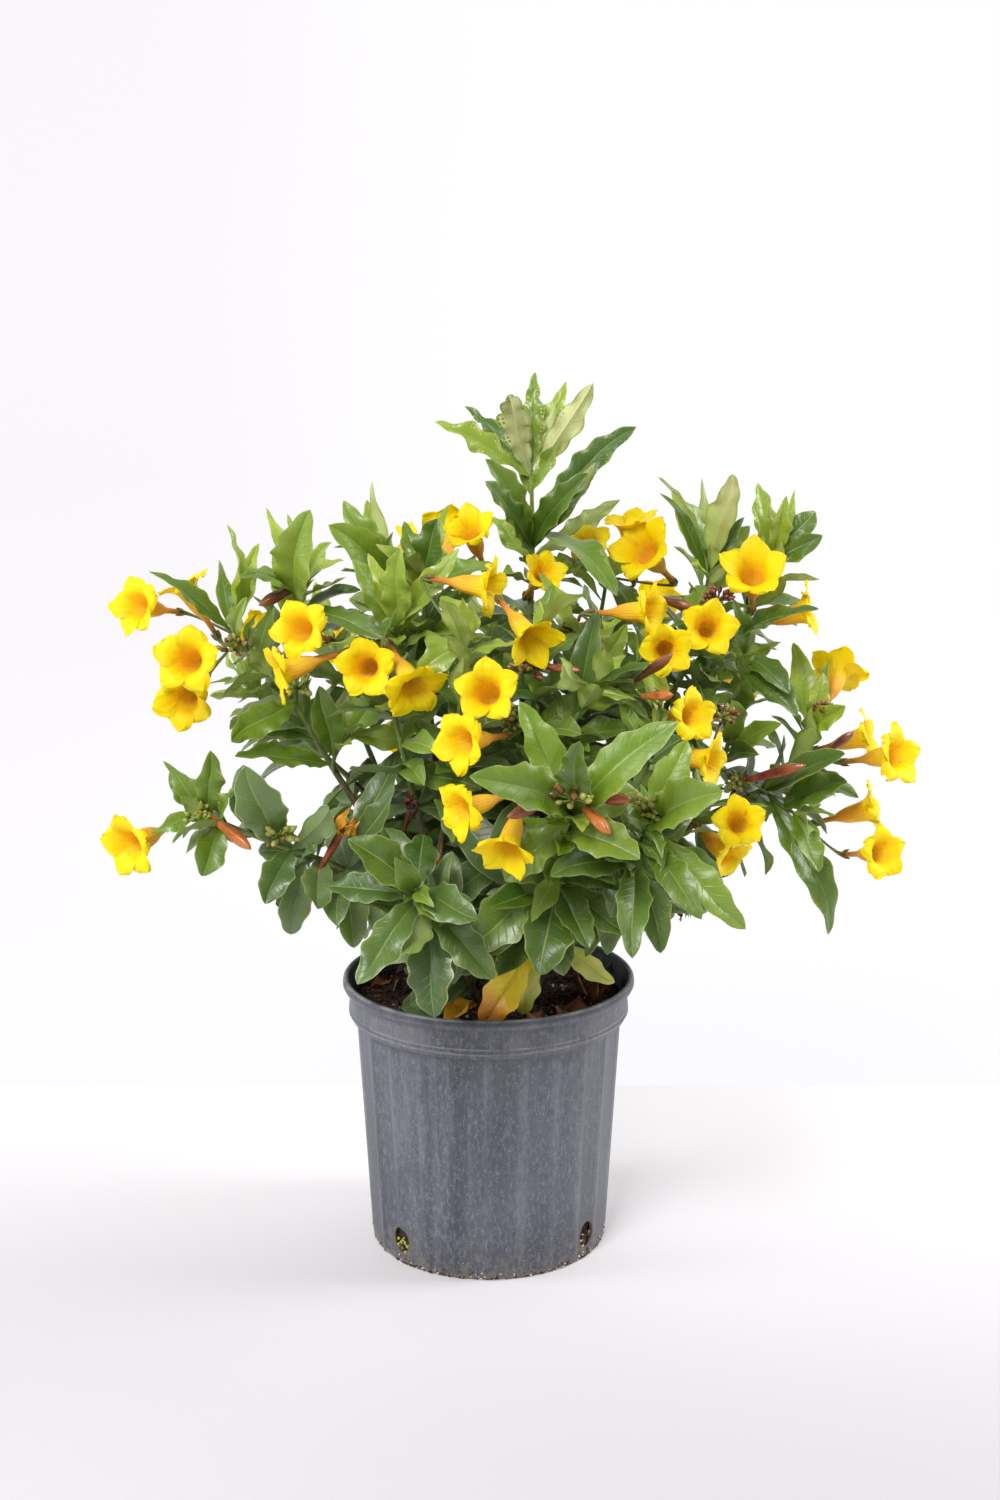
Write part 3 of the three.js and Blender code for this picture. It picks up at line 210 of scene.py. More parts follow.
# Blooms: number, cane, middle of the mouth, the way it looks, size and roll
BLOOMS = [
  [1, "left_crest", [-290, -40, 570], [-0.55, -0.8, 0.2], 0.95, 10],
  [2, "left_crest", [-252, -26, 586], [-0.5, 0.02, 0.82], 0.9, 30],
  [3, "left_crest", [-240, -98, 535], [-0.15, -0.95, 0.25], 1.04, 0],
  [4, "left_crest", [-250, -62, 495], [-0.2, -0.93, -0.2], 1, 36],
  [5, "left_peak", [-150, -100, 560], [-0.4, -0.85, 0.3], 0.95, 20],
  [6, "left_crest", [-165, -112, 527], [-0.93, -0.3, -0.25], 0.95, 0],
  [7, "left_peak", [-95, -135, 535], [-0.1, -0.97, 0.15], 1, 12],
  [8, "mid_left", [-55, -150, 520], [0.4, -0.75, -0.5], 1.04, 40],
  [9, "left_peak", [-15, -10, 630], [-0.25, -0.62, 0.74], 0.9, 15],
  [10, "left_peak", [-66, 60, 610], [0.72, -0.3, 0.6], 0.9, 0],
  [11, "heart", [0, -182, 525], [-0.15, -0.9, 0.4], 1.04, 8],
  [12, "heart", [-20, -192, 487], [-0.65, -0.75, 0.05], 1, 24],
  [13, "mid_left", [2, -98, 593], [0.93, -0.3, -0.1], 0.95, 10],
  [14, "heart", [34, -146, 560], [0.45, -0.72, -0.45], 0.95, 30],
  [15, "tall", [46, -34, 597], [0.3, -0.8, 0.5], 0.85, 0],
  [16, "upper_right", [84, 8, 618], [-0.3, -0.55, 0.78], 0.85, 20],
  [17, "upper_right", [120, 24, 632], [-0.1, -0.2, 0.95], 0.9, 0],
  [17, "upper_right", [130, 0, 613], [-0.5, -0.68, 0.54], 1.09, 25],
  [18, "right_peak", [220, -24, 597], [-0.1, -0.76, 0.64], 1.09, 5],
  [19, "upper_right", [130, -92, 573], [0.9, -0.4, 0.08], 0.95, 16],
  [20, "upper_right", [140, -128, 548], [0.0, -0.97, 0.1], 0.95, 30],
  [21, "right_peak", [176, -104, 562], [0.0, -0.96, 0.25], 1, 0],
  [22, "right_peak", [272, 8, 560], [0.92, -0.2, 0.3], 0.95, 22],
  [23, "right_shoulder", [306, 50, 500], [0.3, 0.75, 0.5], 1, 0],
  [24, "front_right", [160, -150, 500], [0.55, -0.8, 0.2], 0.95, 18],
  [25, "front_right", [175, -152, 464], [0.85, -0.5, -0.05], 0.95, 0],
  [26, "right_shoulder", [345, -32, 443], [0.7, -0.65, 0.25], 1, 12],
  [26, "right_shoulder", [326, 2, 452], [0.9, -0.25, 0.3], 0.9, 30],
  [27, "right_shoulder", [333, 6, 387], [0.9, -0.25, 0.3], 0.95, 0],
  [28, "right_shoulder", [333, -48, 362], [0.45, -0.84, 0.25], 0.95, 20],
  [29, "front_right", [195, -172, 420], [-0.05, -0.9, 0.4], 0.95, 14],
  [30, "front_right", [193, -146, 384], [0.6, -0.62, -0.45], 0.95, 30],
  [31, "heart", [-20, -216, 440], [-0.75, -0.62, -0.1], 1, 26],
  [32, "front", [15, -248, 418], [-0.25, -0.75, -0.6], 0.95, 6],
  [33, "left_low", [-290, -112, 385], [-0.55, -0.82, -0.12], 1.04, 0],
  [34, "back_left", [-215, 150, 520], [-0.6, 0.7, 0.4], 0.95, 0],
  [35, "back_left", [-150, 235, 500], [-0.2, 0.93, 0.3], 1, 15],
  [36, "back_centre", [-40, 170, 615], [-0.1, 0.75, 0.65], 0.95, 25],
  [37, "back_centre", [25, 275, 500], [0.15, 0.96, 0.2], 1.04, 8],
  [38, "back_centre", [-85, 275, 400], [-0.35, 0.9, 0.2], 0.95, 30],
  [39, "back_right", [165, 235, 540], [0.3, 0.8, 0.5], 0.95, 0],
  [40, "back_right", [235, 165, 480], [0.75, 0.62, 0.2], 1, 18],
]


def by_cane(*groups):
    """The rows of a table that is grouped by cane, each as its cane, two points and what follows."""
    return [[cane, row[:3], row[3:6], *row[6:]] for cane, *rows in groups for row in rows]


# Large leaves: foot, tip and width, and the way their upper face looks where it isn't the front
LEAVES = by_cane(
  ("tall",
   [35, 10, 670, -42, -5, 722, 24], [35, 10, 675, -20, 45, 730, 18],
   [35, 10, 670, 15, -30, 745, 26, "under"], [35, 10, 675, 40, 25, 760, 20],
   [35, 10, 670, 85, -30, 750, 24, "under"], [35, 10, 675, 68, 45, 755, 18], [40, 10, 615, 0, -25, 690, 28],
   [40, 10, 635, 122, -25, 715, 26], [40, 10, 615, 80, -40, 680, 26], [40, 10, 605, -5, -50, 662, 28],
   [40, 10, 605, 115, 10, 655, 22, "under"]),
  ("left_crest",
   [-215, -40, 545, -205, -55, 640, 24, "right"], [-215, -40, 540, -190, -30, 620, 20],
   [-215, -40, 540, -272, -25, 600, 18], [-213, -40, 535, -195, -80, 582, 20],
   [-155, -40, 580, -165, -30, 645, 16], [-155, -40, 580, -150, -70, 630, 16],
   [-152, -40, 572, -124, -88, 642, 38], [-155, -40, 580, -195, -60, 605, 22],
   [-152, -40, 565, -85, -110, 560, 26, "sky"], [-125, -58, 448, -135, -90, 512, 28],
   [-112, -62, 468, -78, -72, 512, 26], [-112, -62, 462, -58, -62, 460, 22],
   [-132, -36, 435, -205, -92, 455, 28], [-160, -45, 490, -208, -102, 468, 30],
   [-145, -40, 460, -200, -15, 475, 26]),
  ("left_low",
   [-225, -90, 402, -262, -70, 436, 24], [-225, -90, 402, -222, -95, 462, 24],
   [-218, -90, 398, -202, -132, 438, 20], [-215, -92, 396, -232, -112, 360, 28],
   [-172, -104, 384, -192, -142, 455, 40], [-160, -102, 380, -122, -152, 425, 26, "under"],
   [-160, -102, 380, -178, -142, 345, 28], [-150, -100, 374, -160, -112, 308, 28],
   [-135, -95, 368, -135, -155, 345, 28], [-115, -90, 360, -110, -120, 302, 30],
   [-115, -90, 360, -82, -136, 438, 26], [-115, -90, 362, -74, -48, 450, 26]),
  ("left_peak",
   [-85, 8, 590, -122, 0, 655, 24], [-87, 10, 595, -105, 42, 652, 20], [-85, 8, 585, -127, -30, 636, 34],
   [-76, -60, 555, -70, -76, 622, 28], [-75, -60, 550, -24, -72, 622, 24],
   [-55, -20, 590, -40, -35, 642, 28], [-55, -20, 592, -72, 10, 638, 18], [-55, -20, 585, 5, -52, 606, 24],
   [-60, -30, 520, -118, -66, 568, 26]),
  ("mid_left", [-16, -115, 550, -56, -158, 532, 26]),
  ("heart",
   [38, -118, 510, 0, -168, 503, 24], [70, -124, 492, 85, -135, 580, 24],
   [84, -130, 520, 58, -172, 545, 22, "under"]),
  ("front",
   [64, -222, 440, -6, -262, 486, 38], [64, -222, 440, 136, -262, 520, 38],
   [62, -215, 432, 13, -268, 392, 30], [64, -218, 436, 24, -215, 522, 30],
   [64, -220, 440, 66, -272, 508, 28], [64, -215, 432, 116, -195, 450, 28],
   [62, -205, 420, 112, -272, 415, 34]),
  ("front_right",
   [122, -200, 422, 172, -242, 462, 40], [124, -204, 430, 152, -188, 488, 28],
   [120, -195, 415, 198, -228, 352, 28], [116, -185, 402, 132, -222, 330, 28],
   [114, -180, 395, 108, -245, 345, 28], [118, -192, 410, 158, -255, 370, 26],
   [114, -180, 395, 48, -242, 408, 30], [118, -190, 408, 188, -168, 368, 28]),
  ("front_left",
   [-54, -195, 370, -102, -218, 420, 36], [-54, -195, 370, -50, -150, 405, 28],
   [-54, -192, 368, -122, -160, 362, 28], [-53, -190, 366, -8, -242, 364, 30],
   [-52, -188, 364, -97, -242, 312, 32], [-53, -192, 367, -57, -262, 328, 28, "under"],
   [-50, -180, 358, 6, -202, 302, 30], [-47, -168, 348, -40, -212, 272, 38],
   [-46, -165, 345, -80, -172, 412, 30]),
  ("right_peak",
   [188, 0, 590, 143, -10, 676, 24, "right"], [188, 0, 588, 155, 32, 656, 20],
   [188, 0, 594, 190, -32, 672, 26, "under"], [188, 0, 594, 206, 20, 672, 22],
   [188, 0, 585, 222, 35, 628, 24], [187, 0, 580, 165, -52, 558, 26], [246, 40, 600, 225, 30, 648, 18],
   [246, 40, 600, 230, 58, 662, 24], [246, 40, 602, 252, 10, 656, 20], [246, 40, 600, 282, 50, 642, 26],
   [245, 38, 594, 284, 20, 622, 24], [205, 20, 528, 268, -62, 574, 26],
   [222, 27, 556, 268, 12, 540, 22, "sky"]),
  ("right_shoulder",
   [278, 0, 456, 286, 10, 508, 22], [278, 0, 455, 300, -25, 486, 24], [277, 0, 458, 265, 22, 527, 24],
   [218, 0, 525, 252, -42, 500, 28], [217, 0, 510, 257, -52, 478, 32], [232, -12, 408, 294, -84, 450, 36],
   [250, -30, 398, 298, -58, 428, 36], [262, -40, 392, 275, -72, 352, 26],
   [240, -18, 402, 296, -62, 294, 32], [262, -12, 425, 318, 8, 398, 24]),
  ("front", [38, -100, 300, -5, -112, 230, 32], [34, -90, 290, 30, -117, 234, 24]),
  ("front_right", [58, -68, 292, 106, -80, 258, 22, "left"]),
  ("front",
   [56, -162, 372, -16, -195, 322, 42], [54, -156, 362, 40, -210, 312, 42],
   [56, -160, 370, 78, -215, 332, 28], [55, -158, 366, 110, -190, 330, 28],
   [56, -162, 372, 5, -190, 402, 34]),
)

FACINGS = {
  "front": [0, -0.8, 0.6], "sky": [0, -0.25, 1], "under": [0, 0.9, -0.3],
  "left": [-0.8, -0.5, 0.4], "right": [0.8, -0.5, 0.4],
}

# Closed buds: foot, tip and radius
BUDS = by_cane(
  ("left_crest", [-155, -48, 588, -186, -62, 574, 4.5]),
  ("front",
   [50, -240, 455, 15, -257, 445, 4.5], [75, -238, 455, 105, -255, 458, 4.5],
   [70, -240, 450, 90, -262, 434, 4.5]),
  ("heart", [115, -140, 525, 142, -162, 550, 4], [42, -128, 535, 72, -150, 535, 3.6]),
  ("right_peak", [135, -60, 580, 165, -80, 575, 4]),
  ("front_right", [120, -150, 515, 142, -172, 520, 4]),
  ("right_shoulder", [215, -50, 425, 260, -80, 445, 4.6], [285, -30, 445, 305, -42, 465, 3.6]),
  ("left_low", [-225, -95, 405, -190, -122, 385, 4.8], [-110, -100, 420, -125, -127, 370, 5.5]),
)

# Leaves on the potting mix, for which the solids have a node: foot, tip and width
FALLEN = [
  ["fallen_leaf_right", [56, -34, 3], [84, -70, 3], 27],
  ["fallen_leaf_left", [-52, -88, 3], [-18, -104, 3], 25],
]

# Edge of the crown as the eye sees it, and open places in it: across, up and radius
OUTLINE = [
  [-280, 395], [-275, 335], [-215, 305], [-185, 275], [-125, 280], [-50, 215], [45, 240], [135, 265],
  [225, 295], [270, 350], [305, 360], [305, 425], [295, 485], [275, 535], [285, 570], [280, 635],
  [225, 660], [150, 660], [125, 630], [90, 605], [65, 615], [0, 605], [-30, 615], [-75, 635],
  [-120, 650], [-160, 630], [-205, 590], [-230, 580], [-245, 525], [-235, 460], [-255, 415],
]

OPEN_PLACES = [[-155, 410, 22], [-95, 445, 20], [105, 575, 17], [-165, 395, 17], [-80, 495, 12]]

# Blooms that leaves may cover
HIDDEN_BLOOMS = [10, 15, 16, 32]

# Where a leaf's tip may go when its own place is taken
SHIFTS = [
  [0, 0, 0], [0, -10, 0], [0, 10, 0], [0, -20, 0], [0, 20, 0], [0, 0, 10], [0, 0, -10], [10, 0, 0],
  [-10, 0, 0], [0, -32, 0], [0, 32, 0], [8, -15, 8], [-8, 15, -8], [-8, -15, 8], [8, 15, -8],
  [0, -45, 5], [0, 45, -5], [15, -25, 12], [-15, -25, 12], [15, 20, 15], [-15, 20, 15],
]

# How far each bud is on, row by row: 1 dark, 2 red, 3 orange. The last one is shown as a spent bloom
BUD_KINDS = [1, 2, 2, 3, 1, 2, 1, 3, 2, 1, 3]

# Clusters of small buds: cane, middle, size and kind (0 green, 1 dried)
KNOTS = [
  ["front", [64, -246, 456], 1.6, 0], ["front_right", [122, -208, 436], 1.25, 0],
  ["left_low", [-234, -98, 402], 1.3, 0], ["left_low", [-168, -114, 393], 1.4, 0],
  ["left_crest", [-158, -52, 503], 1.2, 0], ["left_crest", [-208, -50, 535], 1.2, 0.4],
  ["heart", [30, -126, 530], 1.3, 0.5], ["heart", [22, -136, 492], 1.2, 0.2],
  ["upper_right", [72, -66, 552], 1.1, 0.7], ["right_shoulder", [216, -22, 414], 1.2, 0],
  ["right_shoulder", [266, -24, 400], 1.2, 0], ["right_peak", [190, -34, 574], 1.15, 1],
  ["right_shoulder", [284, -16, 478], 0.8, 1.1], ["mid_left", [-92, -92, 545], 1.2, 0.3],
  ["left_peak", [-60, -28, 582], 1.1, 0.3], ["front_right", [190, -90, 486], 1.1, 0.5],
]

# Spent blooms, shrivelled: foot of the tube, tip, radius and kind as in the buds
SPENT = by_cane(
  ("left_low", [-138, -112, 362, -108, -112, 414, 4.2, 3]),
  ("mid_left", [-38, -108, 377, -47, -113, 363, 4, 3.6], [-68, -108, 396, -60, -110, 427, 2.2, 1]),
  ("front_right", [156, -120, 358, 161, -124, 330, 2.6, 0.9]),
)

# Large leaves that have turned, by their row in LEAVES: 0 green, 1 pale, 2 yellow and orange
YELLOWING = {98: 2.0, 99: 0.9, 100: 0.9}

# Large leaves with crumpled margins, by their row in LEAVES
CRUMPLED = {96: 2.0, 98: 1.5}

# Lobes of each bloom: how star-like (0 round, 1 pointed), how far they bend back (minus: cupped), and how
# wide they spread against the solid bloom
BLOOM_FORMS = {
  1: [0.6, 2, 0.94], 3: [0.35, 1.5, 0.94], 4: [0.1, 1.5, 0.94], 5: [0.7, 3, 0.94], 7: [0.25, 1.5, 0.86],
  8: [0.6, 4, 0.9], 9: [0.4, -4, 0.87], 10: [0.25, 1.5, 0.9], 11: [0.75, 1, 0.87], 12: [0.1, 1.5, 0.87],
  13: [0.5, 1.5, 0.94], 14: [0.7, -8, 0.82], 15: [0.25, -3, 0.78], 16: [0.25, 1.5, 0.88],
  17: [0.55, -3, 0.94], 18: [0.6, -4, 0.94], 19: [0.25, 1.5, 0.9], 20: [0.3, 1.5, 0.8], 21: [0.85, 0, 0.8],
  24: [0.2, 1.5, 0.79], 25: [0.5, 1.5, 0.88], 26: [0.7, 1.5, 0.94], 28: [0.6, 1.5, 0.87],
  29: [0.25, 1.5, 0.78], 30: [0.15, 5, 0.86], 31: [0.2, 1.5, 0.83], 32: [0.7, -4, 0.85], 33: [0.5, 1.5, 0.94],
}
USUAL_FORM = [0.25, 1.5, 0.94]

# Lengths of stem that stay in view
SHOWN_STEMS = [
    [[-164, -45, 495], [-114, -28, 405]], [[-212, -95, 395], [-160, -104, 380]],
    [[-60, -92, 425], [-50, -70, 365]],
]

# Leaves too many for the solids: as in LEAVES, and how far they have turned
EXTRA_LEAVES = by_cane(
  ("front", [24, -80, 280, 4, -100, 232, 19, "front", 2.0]),
  ("tall",
   [38, 10, 622, 106, -86, 592, 32, "sky"], [40, 10, 612, 86, -6, 676, 24],
   [38, 10, 630, 84, -34, 686, 20, "under"], [36, 10, 654, 24, 30, 694, 14],
   [42, 10, 606, 110, -12, 586, 22, "sky"], [42, 10, 586, 86, -20, 606, 20], [40, 10, 600, 0, 30, 640, 20],
   [37, 10, 660, 62, 0, 706, 15], [36, 10, 676, 58, 10, 738, 13, "under"]),
  ("heart", [40, -112, 548, -2, -98, 614, 26]),
  ("upper_right", [76, -60, 540, 40, -60, 600, 20]),
  ("left_crest",
   [-154, -36, 586, -182, -20, 652, 15], [-160, -30, 540, -180, 0, 612, 20],
   [-215, -40, 548, -222, -30, 606, 16], [-190, -45, 525, -175, -60, 575, 18]),
  ("left_peak",
   [-88, 10, 598, -98, 20, 668, 14, "under"], [-55, -20, 594, -34, 6, 646, 16],
   [-76, -62, 556, -95, -70, 618, 20], [-55, -20, 580, -92, -50, 622, 22]),
  ("right_peak",
   [188, 0, 588, 147, 0, 664, 16], [188, 0, 596, 178, 10, 672, 14, "under"],
   [246, 40, 600, 240, 18, 648, 14, "under"], [246, 40, 602, 268, 60, 652, 14],
   [246, 40, 600, 262, 36, 660, 13], [188, 0, 592, 214, -10, 640, 18]),
  ("right_shoulder",
   [218, 0, 524, 206, -20, 575, 20], [278, 0, 458, 292, 20, 515, 16], [212, -2, 470, 212, -42, 512, 24],
   [206, -4, 445, 204, -52, 492, 26], [206, -4, 440, 244, -52, 474, 22], [205, -4, 425, 218, -66, 453, 24],
   [235, -12, 408, 250, -62, 438, 22]),
  ("left_low", [-238, -90, 408, -262, -95, 452, 16], [-238, -90, 408, -272, -110, 395, 16]),
  ("front_left", [-12, -50, 245, -74, -64, 229, 32]),
  ("front", [44, -120, 325, 60, -152, 288, 28]),
  ("upper_right", [104, 50, 585, 130, -14, 550, 24]),
  ("front_left", [-16, -62, 255, -66, -84, 240, 28]),
  ("front_right", [50, -58, 275, 14, -92, 262, 26]),
)

# Dead leaves on the potting mix, besides the solid ones: foot, tip, width, fold and kind of litter
DEAD_LEAVES = [
  [[76, 18, 224], [90, -38, 224], 19, 1.5, 3], [[99, 24, 227], [95, -32, 224], 16, 1.9, 3],
  [[92, 62, 226], [108, 34, 229], 26, 0.15, 4], [[-106, 4, 224], [-78, 22, 225], 11, 0.9, 3],
  [[-92, -8, 223], [-70, 8, 226], 9, 1.2, 4], [[-10, -64, 233], [-35, -86, 224], 24, 0.9, 5],
  [[20, 60, 224], [60, 66, 226], 22, 1.1, 3], [[-50, 50, 225], [-84, 40, 226], 20, 0.8, 4],
  [[30, -96, 224], [52, -84, 226], 14, 1.3, 3], [[106, -12, 226], [100, 20, 229], 12, 1.6, 3],
]


# Small vector helpers, in double precision as in the solids' source
def plus(a, b):
    return (a[0] + b[0], a[1] + b[1], a[2] + b[2])


def minus(a, b):
    return (a[0] - b[0], a[1] - b[1], a[2] - b[2])


def times(a, k):
    return (a[0] * k, a[1] * k, a[2] * k)


def dot(a, b):
    return a[0] * b[0] + a[1] * b[1] + a[2] * b[2]


def cross(a, b):
    return (a[1] * b[2] - a[2] * b[1], a[2] * b[0] - a[0] * b[2], a[0] * b[1] - a[1] * b[0])


def length(a):
    return math.sqrt(dot(a, a))


def unit(a):
    return times(a, 1 / length(a))


def between(a, b, t):
    return plus(a, times(minus(b, a), t))


def square_to(a, axis):
    return unit(minus(a, times(axis, dot(a, axis))))


def draws(seed):
    """A repeatable row of draws between 0 and 1."""
    state = seed * 7919 + 12345

    def draw():
        nonlocal state
        state = state * 16807 % 2147483647
        return state / 2147483647

    for _ in range(3):
        draw()
    return draw


def bend(a, knee, b, t):
    u = 1 - t
    return plus(plus(times(a, u * u), times(knee, 2 * u * t)), times(b, t * t))


class Leaf:
    """Foot, tip, width and the way its upper face looks, with a seeded arch, twist, fold and wave."""

    def __init__(self, cane, foot, tip, width, up, seed):
        draw = draws(seed)
        self.cane, self.foot, self.tip, self.width = cane, foot, tip, width
        self.up = square_to(up, unit(minus(tip, foot)))
        self.arch = 0.06 + 0.14 * draw()
        self.twist = (draw() - 0.5) * 1.1
        self.phase = 2 * math.pi * draw()
        self.waves = 1.2 + 1.2 * draw()
        self.wave = 1.2 + 2.6 * draw()
        self.fold = 0.12 + 0.3 * draw()
        self.tone = draw()
        self.age = 0.5
        self.yellow = 0.0
        self.kind = 0.0
        self.row = None
        self.seed = draw()
        self.ruffles = 2.6 + 2.2 * draw()
        self.ruffle = (0.25 + 0.5 * draw()) * self.wave
        self.sway = 0.07 * (draw() - 0.5)
        self.hook = 0.9 * (draw() - 0.62)
        chord = minus(tip, foot)
        self.side = unit(cross(chord, self.up))
        self.knee = plus(between(foot, tip, 0.5), times(self.up, self.arch * length(chord)))

    def frame(self, t):
        middle = bend(self.foot, self.knee, self.tip, t)
        way = plus(times(minus(self.knee, self.foot), 1 - t), times(minus(self.tip, self.knee), t))
        up = unit(cross(self.side, unit(way)))
        turn = self.twist * t
        side = plus(times(self.side, math.cos(turn)), times(up, math.sin(turn)))
        return middle, side, plus(times(up, math.cos(turn)), times(self.side, -math.sin(turn)))

    def samples(self):
        found = []
        for t in LEAF_STATIONS:
            middle, side, up = self.frame(t)
            breadth = math.sin(math.pi * t ** 1.15) ** 1.1
            for s in LEAF_SPREAD:
                half = self.width / 2 * breadth * s
                phase = self.phase + (1.9 if s > 0 else 0)
                ripple = self.wave * math.sin(2 * math.pi * self.waves * t + phase) * breadth
                lift = abs(half) * self.fold + abs(s) * ripple
                found.append((plus(plus(middle, times(side, half)), times(up, lift)), t))
        for t in LEAF_TIP_STATIONS:
            found.append((self.frame(t)[0], t))
        return found


def along(branch, step):
    """Points every few millimetres along a branch."""
    places = []
    for a, b in zip(branch, branch[1:]):
        count = max(1, math.floor(length(minus(b, a)) / step + 0.5))
        places += [between(a, b, k / count) for k in range(count)]
    return places + [tuple(branch[-1])]


def branch_length(branch):
    return sum(length(minus(b, a)) for a, b in zip(branch, branch[1:]))


def place_back(branch, distance):
    """The place on a branch, and its way, at a distance back from the tip."""
    left = distance
    for i in range(len(branch) - 1, 0, -1):
        a, b = branch[i], branch[i - 1]
        span = length(minus(b, a))
        if left <= span:
            return between(a, b, left / span), unit(minus(a, b))
        left -= span
    return None


def nearest_on_cane(point, cane):
    best, best_gap = None, math.inf
    for branch in CANES[cane]:
        for place in along(branch, STEM_SAMPLE)[:-1]:
            gap = length(minus(point, place))
            if place[2] > SOIL_TOP + 20 and gap < best_gap:
                best, best_gap = place, gap
    return best


def flat_place(p):
    """Where a point shows on the upright plane through the pot, seen from the eye."""
    k = -EYE[1] / (p[1] - EYE[1])
    return EYE[0] + (p[0] - EYE[0]) * k, EYE[2] + (p[2] - EYE[2]) * k


class Crowd:
    """Everything already placed, in cells, so that leaves can be kept clear of it."""

    def __init__(self):
        self.cells = {}
        self.faces = []

    def put(self, point, kind, owner, t=1):
        key = tuple(math.floor(v / CELL) for v in point)
        self.cells.setdefault(key, []).append((point, kind, owner, t))

    def around(self, point):
        i, j, k = (math.floor(v / CELL) for v in point)
        for a in (i - 1, i, i + 1):
            for b in (j - 1, j, j + 1):
                for c in (k - 1, k, k + 1):
                    yield from self.cells.get((a, b, c), ())

    def is_free(self, samples, cane, crowding, near):
        for point, t in samples:
            for other, kind, owner, other_t in self.around(point):
                own = owner == cane
                if own and kind == "stem" and t < LEAF_FOOT:
                    continue
                if own and kind == "stalk" and t < STALK_FOOT:
                    continue
                reach = near[kind]
                if own and kind == "leaf":
                    reach = crowding if min(t, other_t) < LEAF_FOOT else near["leaf"]
                apart = minus(point, other)
                if dot(apart, apart) < reach * reach:
                    return False
        return True

    def shows_blooms(self, samples):
        """No leaf hangs in front of an open bloom, or down over the pot."""
        for point, _ in samples[::2]:
            low = point[2] < POT_CLEARANCE["height"]
            if low and math.hypot(point[0], point[1]) < POT_CLEARANCE["radius"]:
                return False
            x, z = flat_place(point)
            for face_x, face_z, depth, reach in self.faces:
                if point[1] < depth and (x - face_x) ** 2 + (z - face_z) ** 2 < reach ** 2:
                    return False
        return True


class Bloom:
    """The frame of one corolla: its axis, two directions across it, and where it leaves its calyx."""

    def __init__(self, row):
        self.number, self.cane, self.mouth, faces, self.size, self.roll = row
        self.axis = unit(faces)
        self.side = square_to((0.3, 0.5, 0.8), self.axis)
        self.other = cross(self.axis, self.side)
        self.base = plus(self.mouth, times(self.axis, -BLOOM_LENGTH * self.size))

    def stalk(self, t):
        root = nearest_on_cane(self.base, self.cane)
        return bend(root, plus(self.base, times(self.axis, -12)), self.base, t)


def crowd_bloom(crowd, row):
    bloom = Bloom(row)
    for k in range(STALK_SAMPLES):
        crowd.put(plus(bloom.mouth, times(bloom.axis, -STEM_SAMPLE * k)), "petal", bloom.number)
    for radius, count in PETAL_RINGS:
        for i in range(count):
            a = 2 * math.pi * i / count
            u = times(bloom.side, math.cos(a) * radius * bloom.size)
            v = times(bloom.other, math.sin(a) * radius * bloom.size)
            rim = plus(plus(bloom.mouth, plus(u, v)), times(bloom.axis, radius * 0.12))
            crowd.put(rim, "petal", bloom.number)
    for ahead in AIR_AHEAD:
        crowd.put(plus(bloom.mouth, times(bloom.axis, ahead)), "air", bloom.number)
    for i in range(STALK_SAMPLES):
        crowd.put(bloom.stalk(i / (STALK_SAMPLES - 1)), "stalk", bloom.cane)
    if bloom.axis[1] < 0.2 and bloom.number not in HIDDEN_BLOOMS:
        x, z = flat_place(bloom.mouth)
        crowd.faces.append((x, z, bloom.mouth[1] + 6, CLEAR_FRONT * bloom.size))


def make_crowd():
    crowd = Crowd()
    for cane, branches in CANES.items():
        for branch in branches:
            for place in along(branch, STEM_SAMPLE):
                crowd.put(place, "stem", cane)
    for row in BLOOMS:
        crowd_bloom(crowd, row)
    for cane, tail, tip, _ in BUDS:
        for i in range(5):
            crowd.put(between(tail, tip, i / 4), "stalk", cane)
    return crowd


def settle(crowd, leaf, samples, leaves):
    leaf.age = leaf_age(leaf)
    for point, t in samples:
        crowd.put(point, "leaf", leaf.cane, t)
    leaves.append(leaf)


def place_by_eye(crowd, leaves, rows, seeds, crowding, near):
    """Leaves placed as listed. One whose place is taken moves a little, or else is left out."""
    for number, row in enumerate(rows):
        cane, foot, tip, width, facing, turned = (*row, *("front", 0.0)[len(row) - 4:])
        root = nearest_on_cane(foot, cane)
        for index, shift in enumerate(SHIFTS):
            leaf = Leaf(cane, root, plus(tip, shift), width, FACINGS[facing], seeds[index % 2] + number)
            samples = leaf.samples()
            if crowd.is_free(samples, cane, crowding, near):
                leaf.row, leaf.yellow = number, turned
                settle(crowd, leaf, samples, leaves)
                break


def is_inside(x, z, outline):
    odd = False
    for (x1, z1), (x2, z2) in zip(outline, outline[1:] + outline[:1]):
        if (z1 > z) != (z2 > z) and x < (x2 - x1) * (z - z1) / (z2 - z1) + x1:
            odd = not odd
    return odd


def keeps_outline(samples):
    for i in OUTLINE_SAMPLES:
        x, z = flat_place(samples[i][0])
        if not is_inside(x, z, OUTLINE):
            return False
        for u, v, r in OPEN_PLACES:
            if (x - u) ** 2 + (z - v) ** 2 < r * r:
                return False
    return True


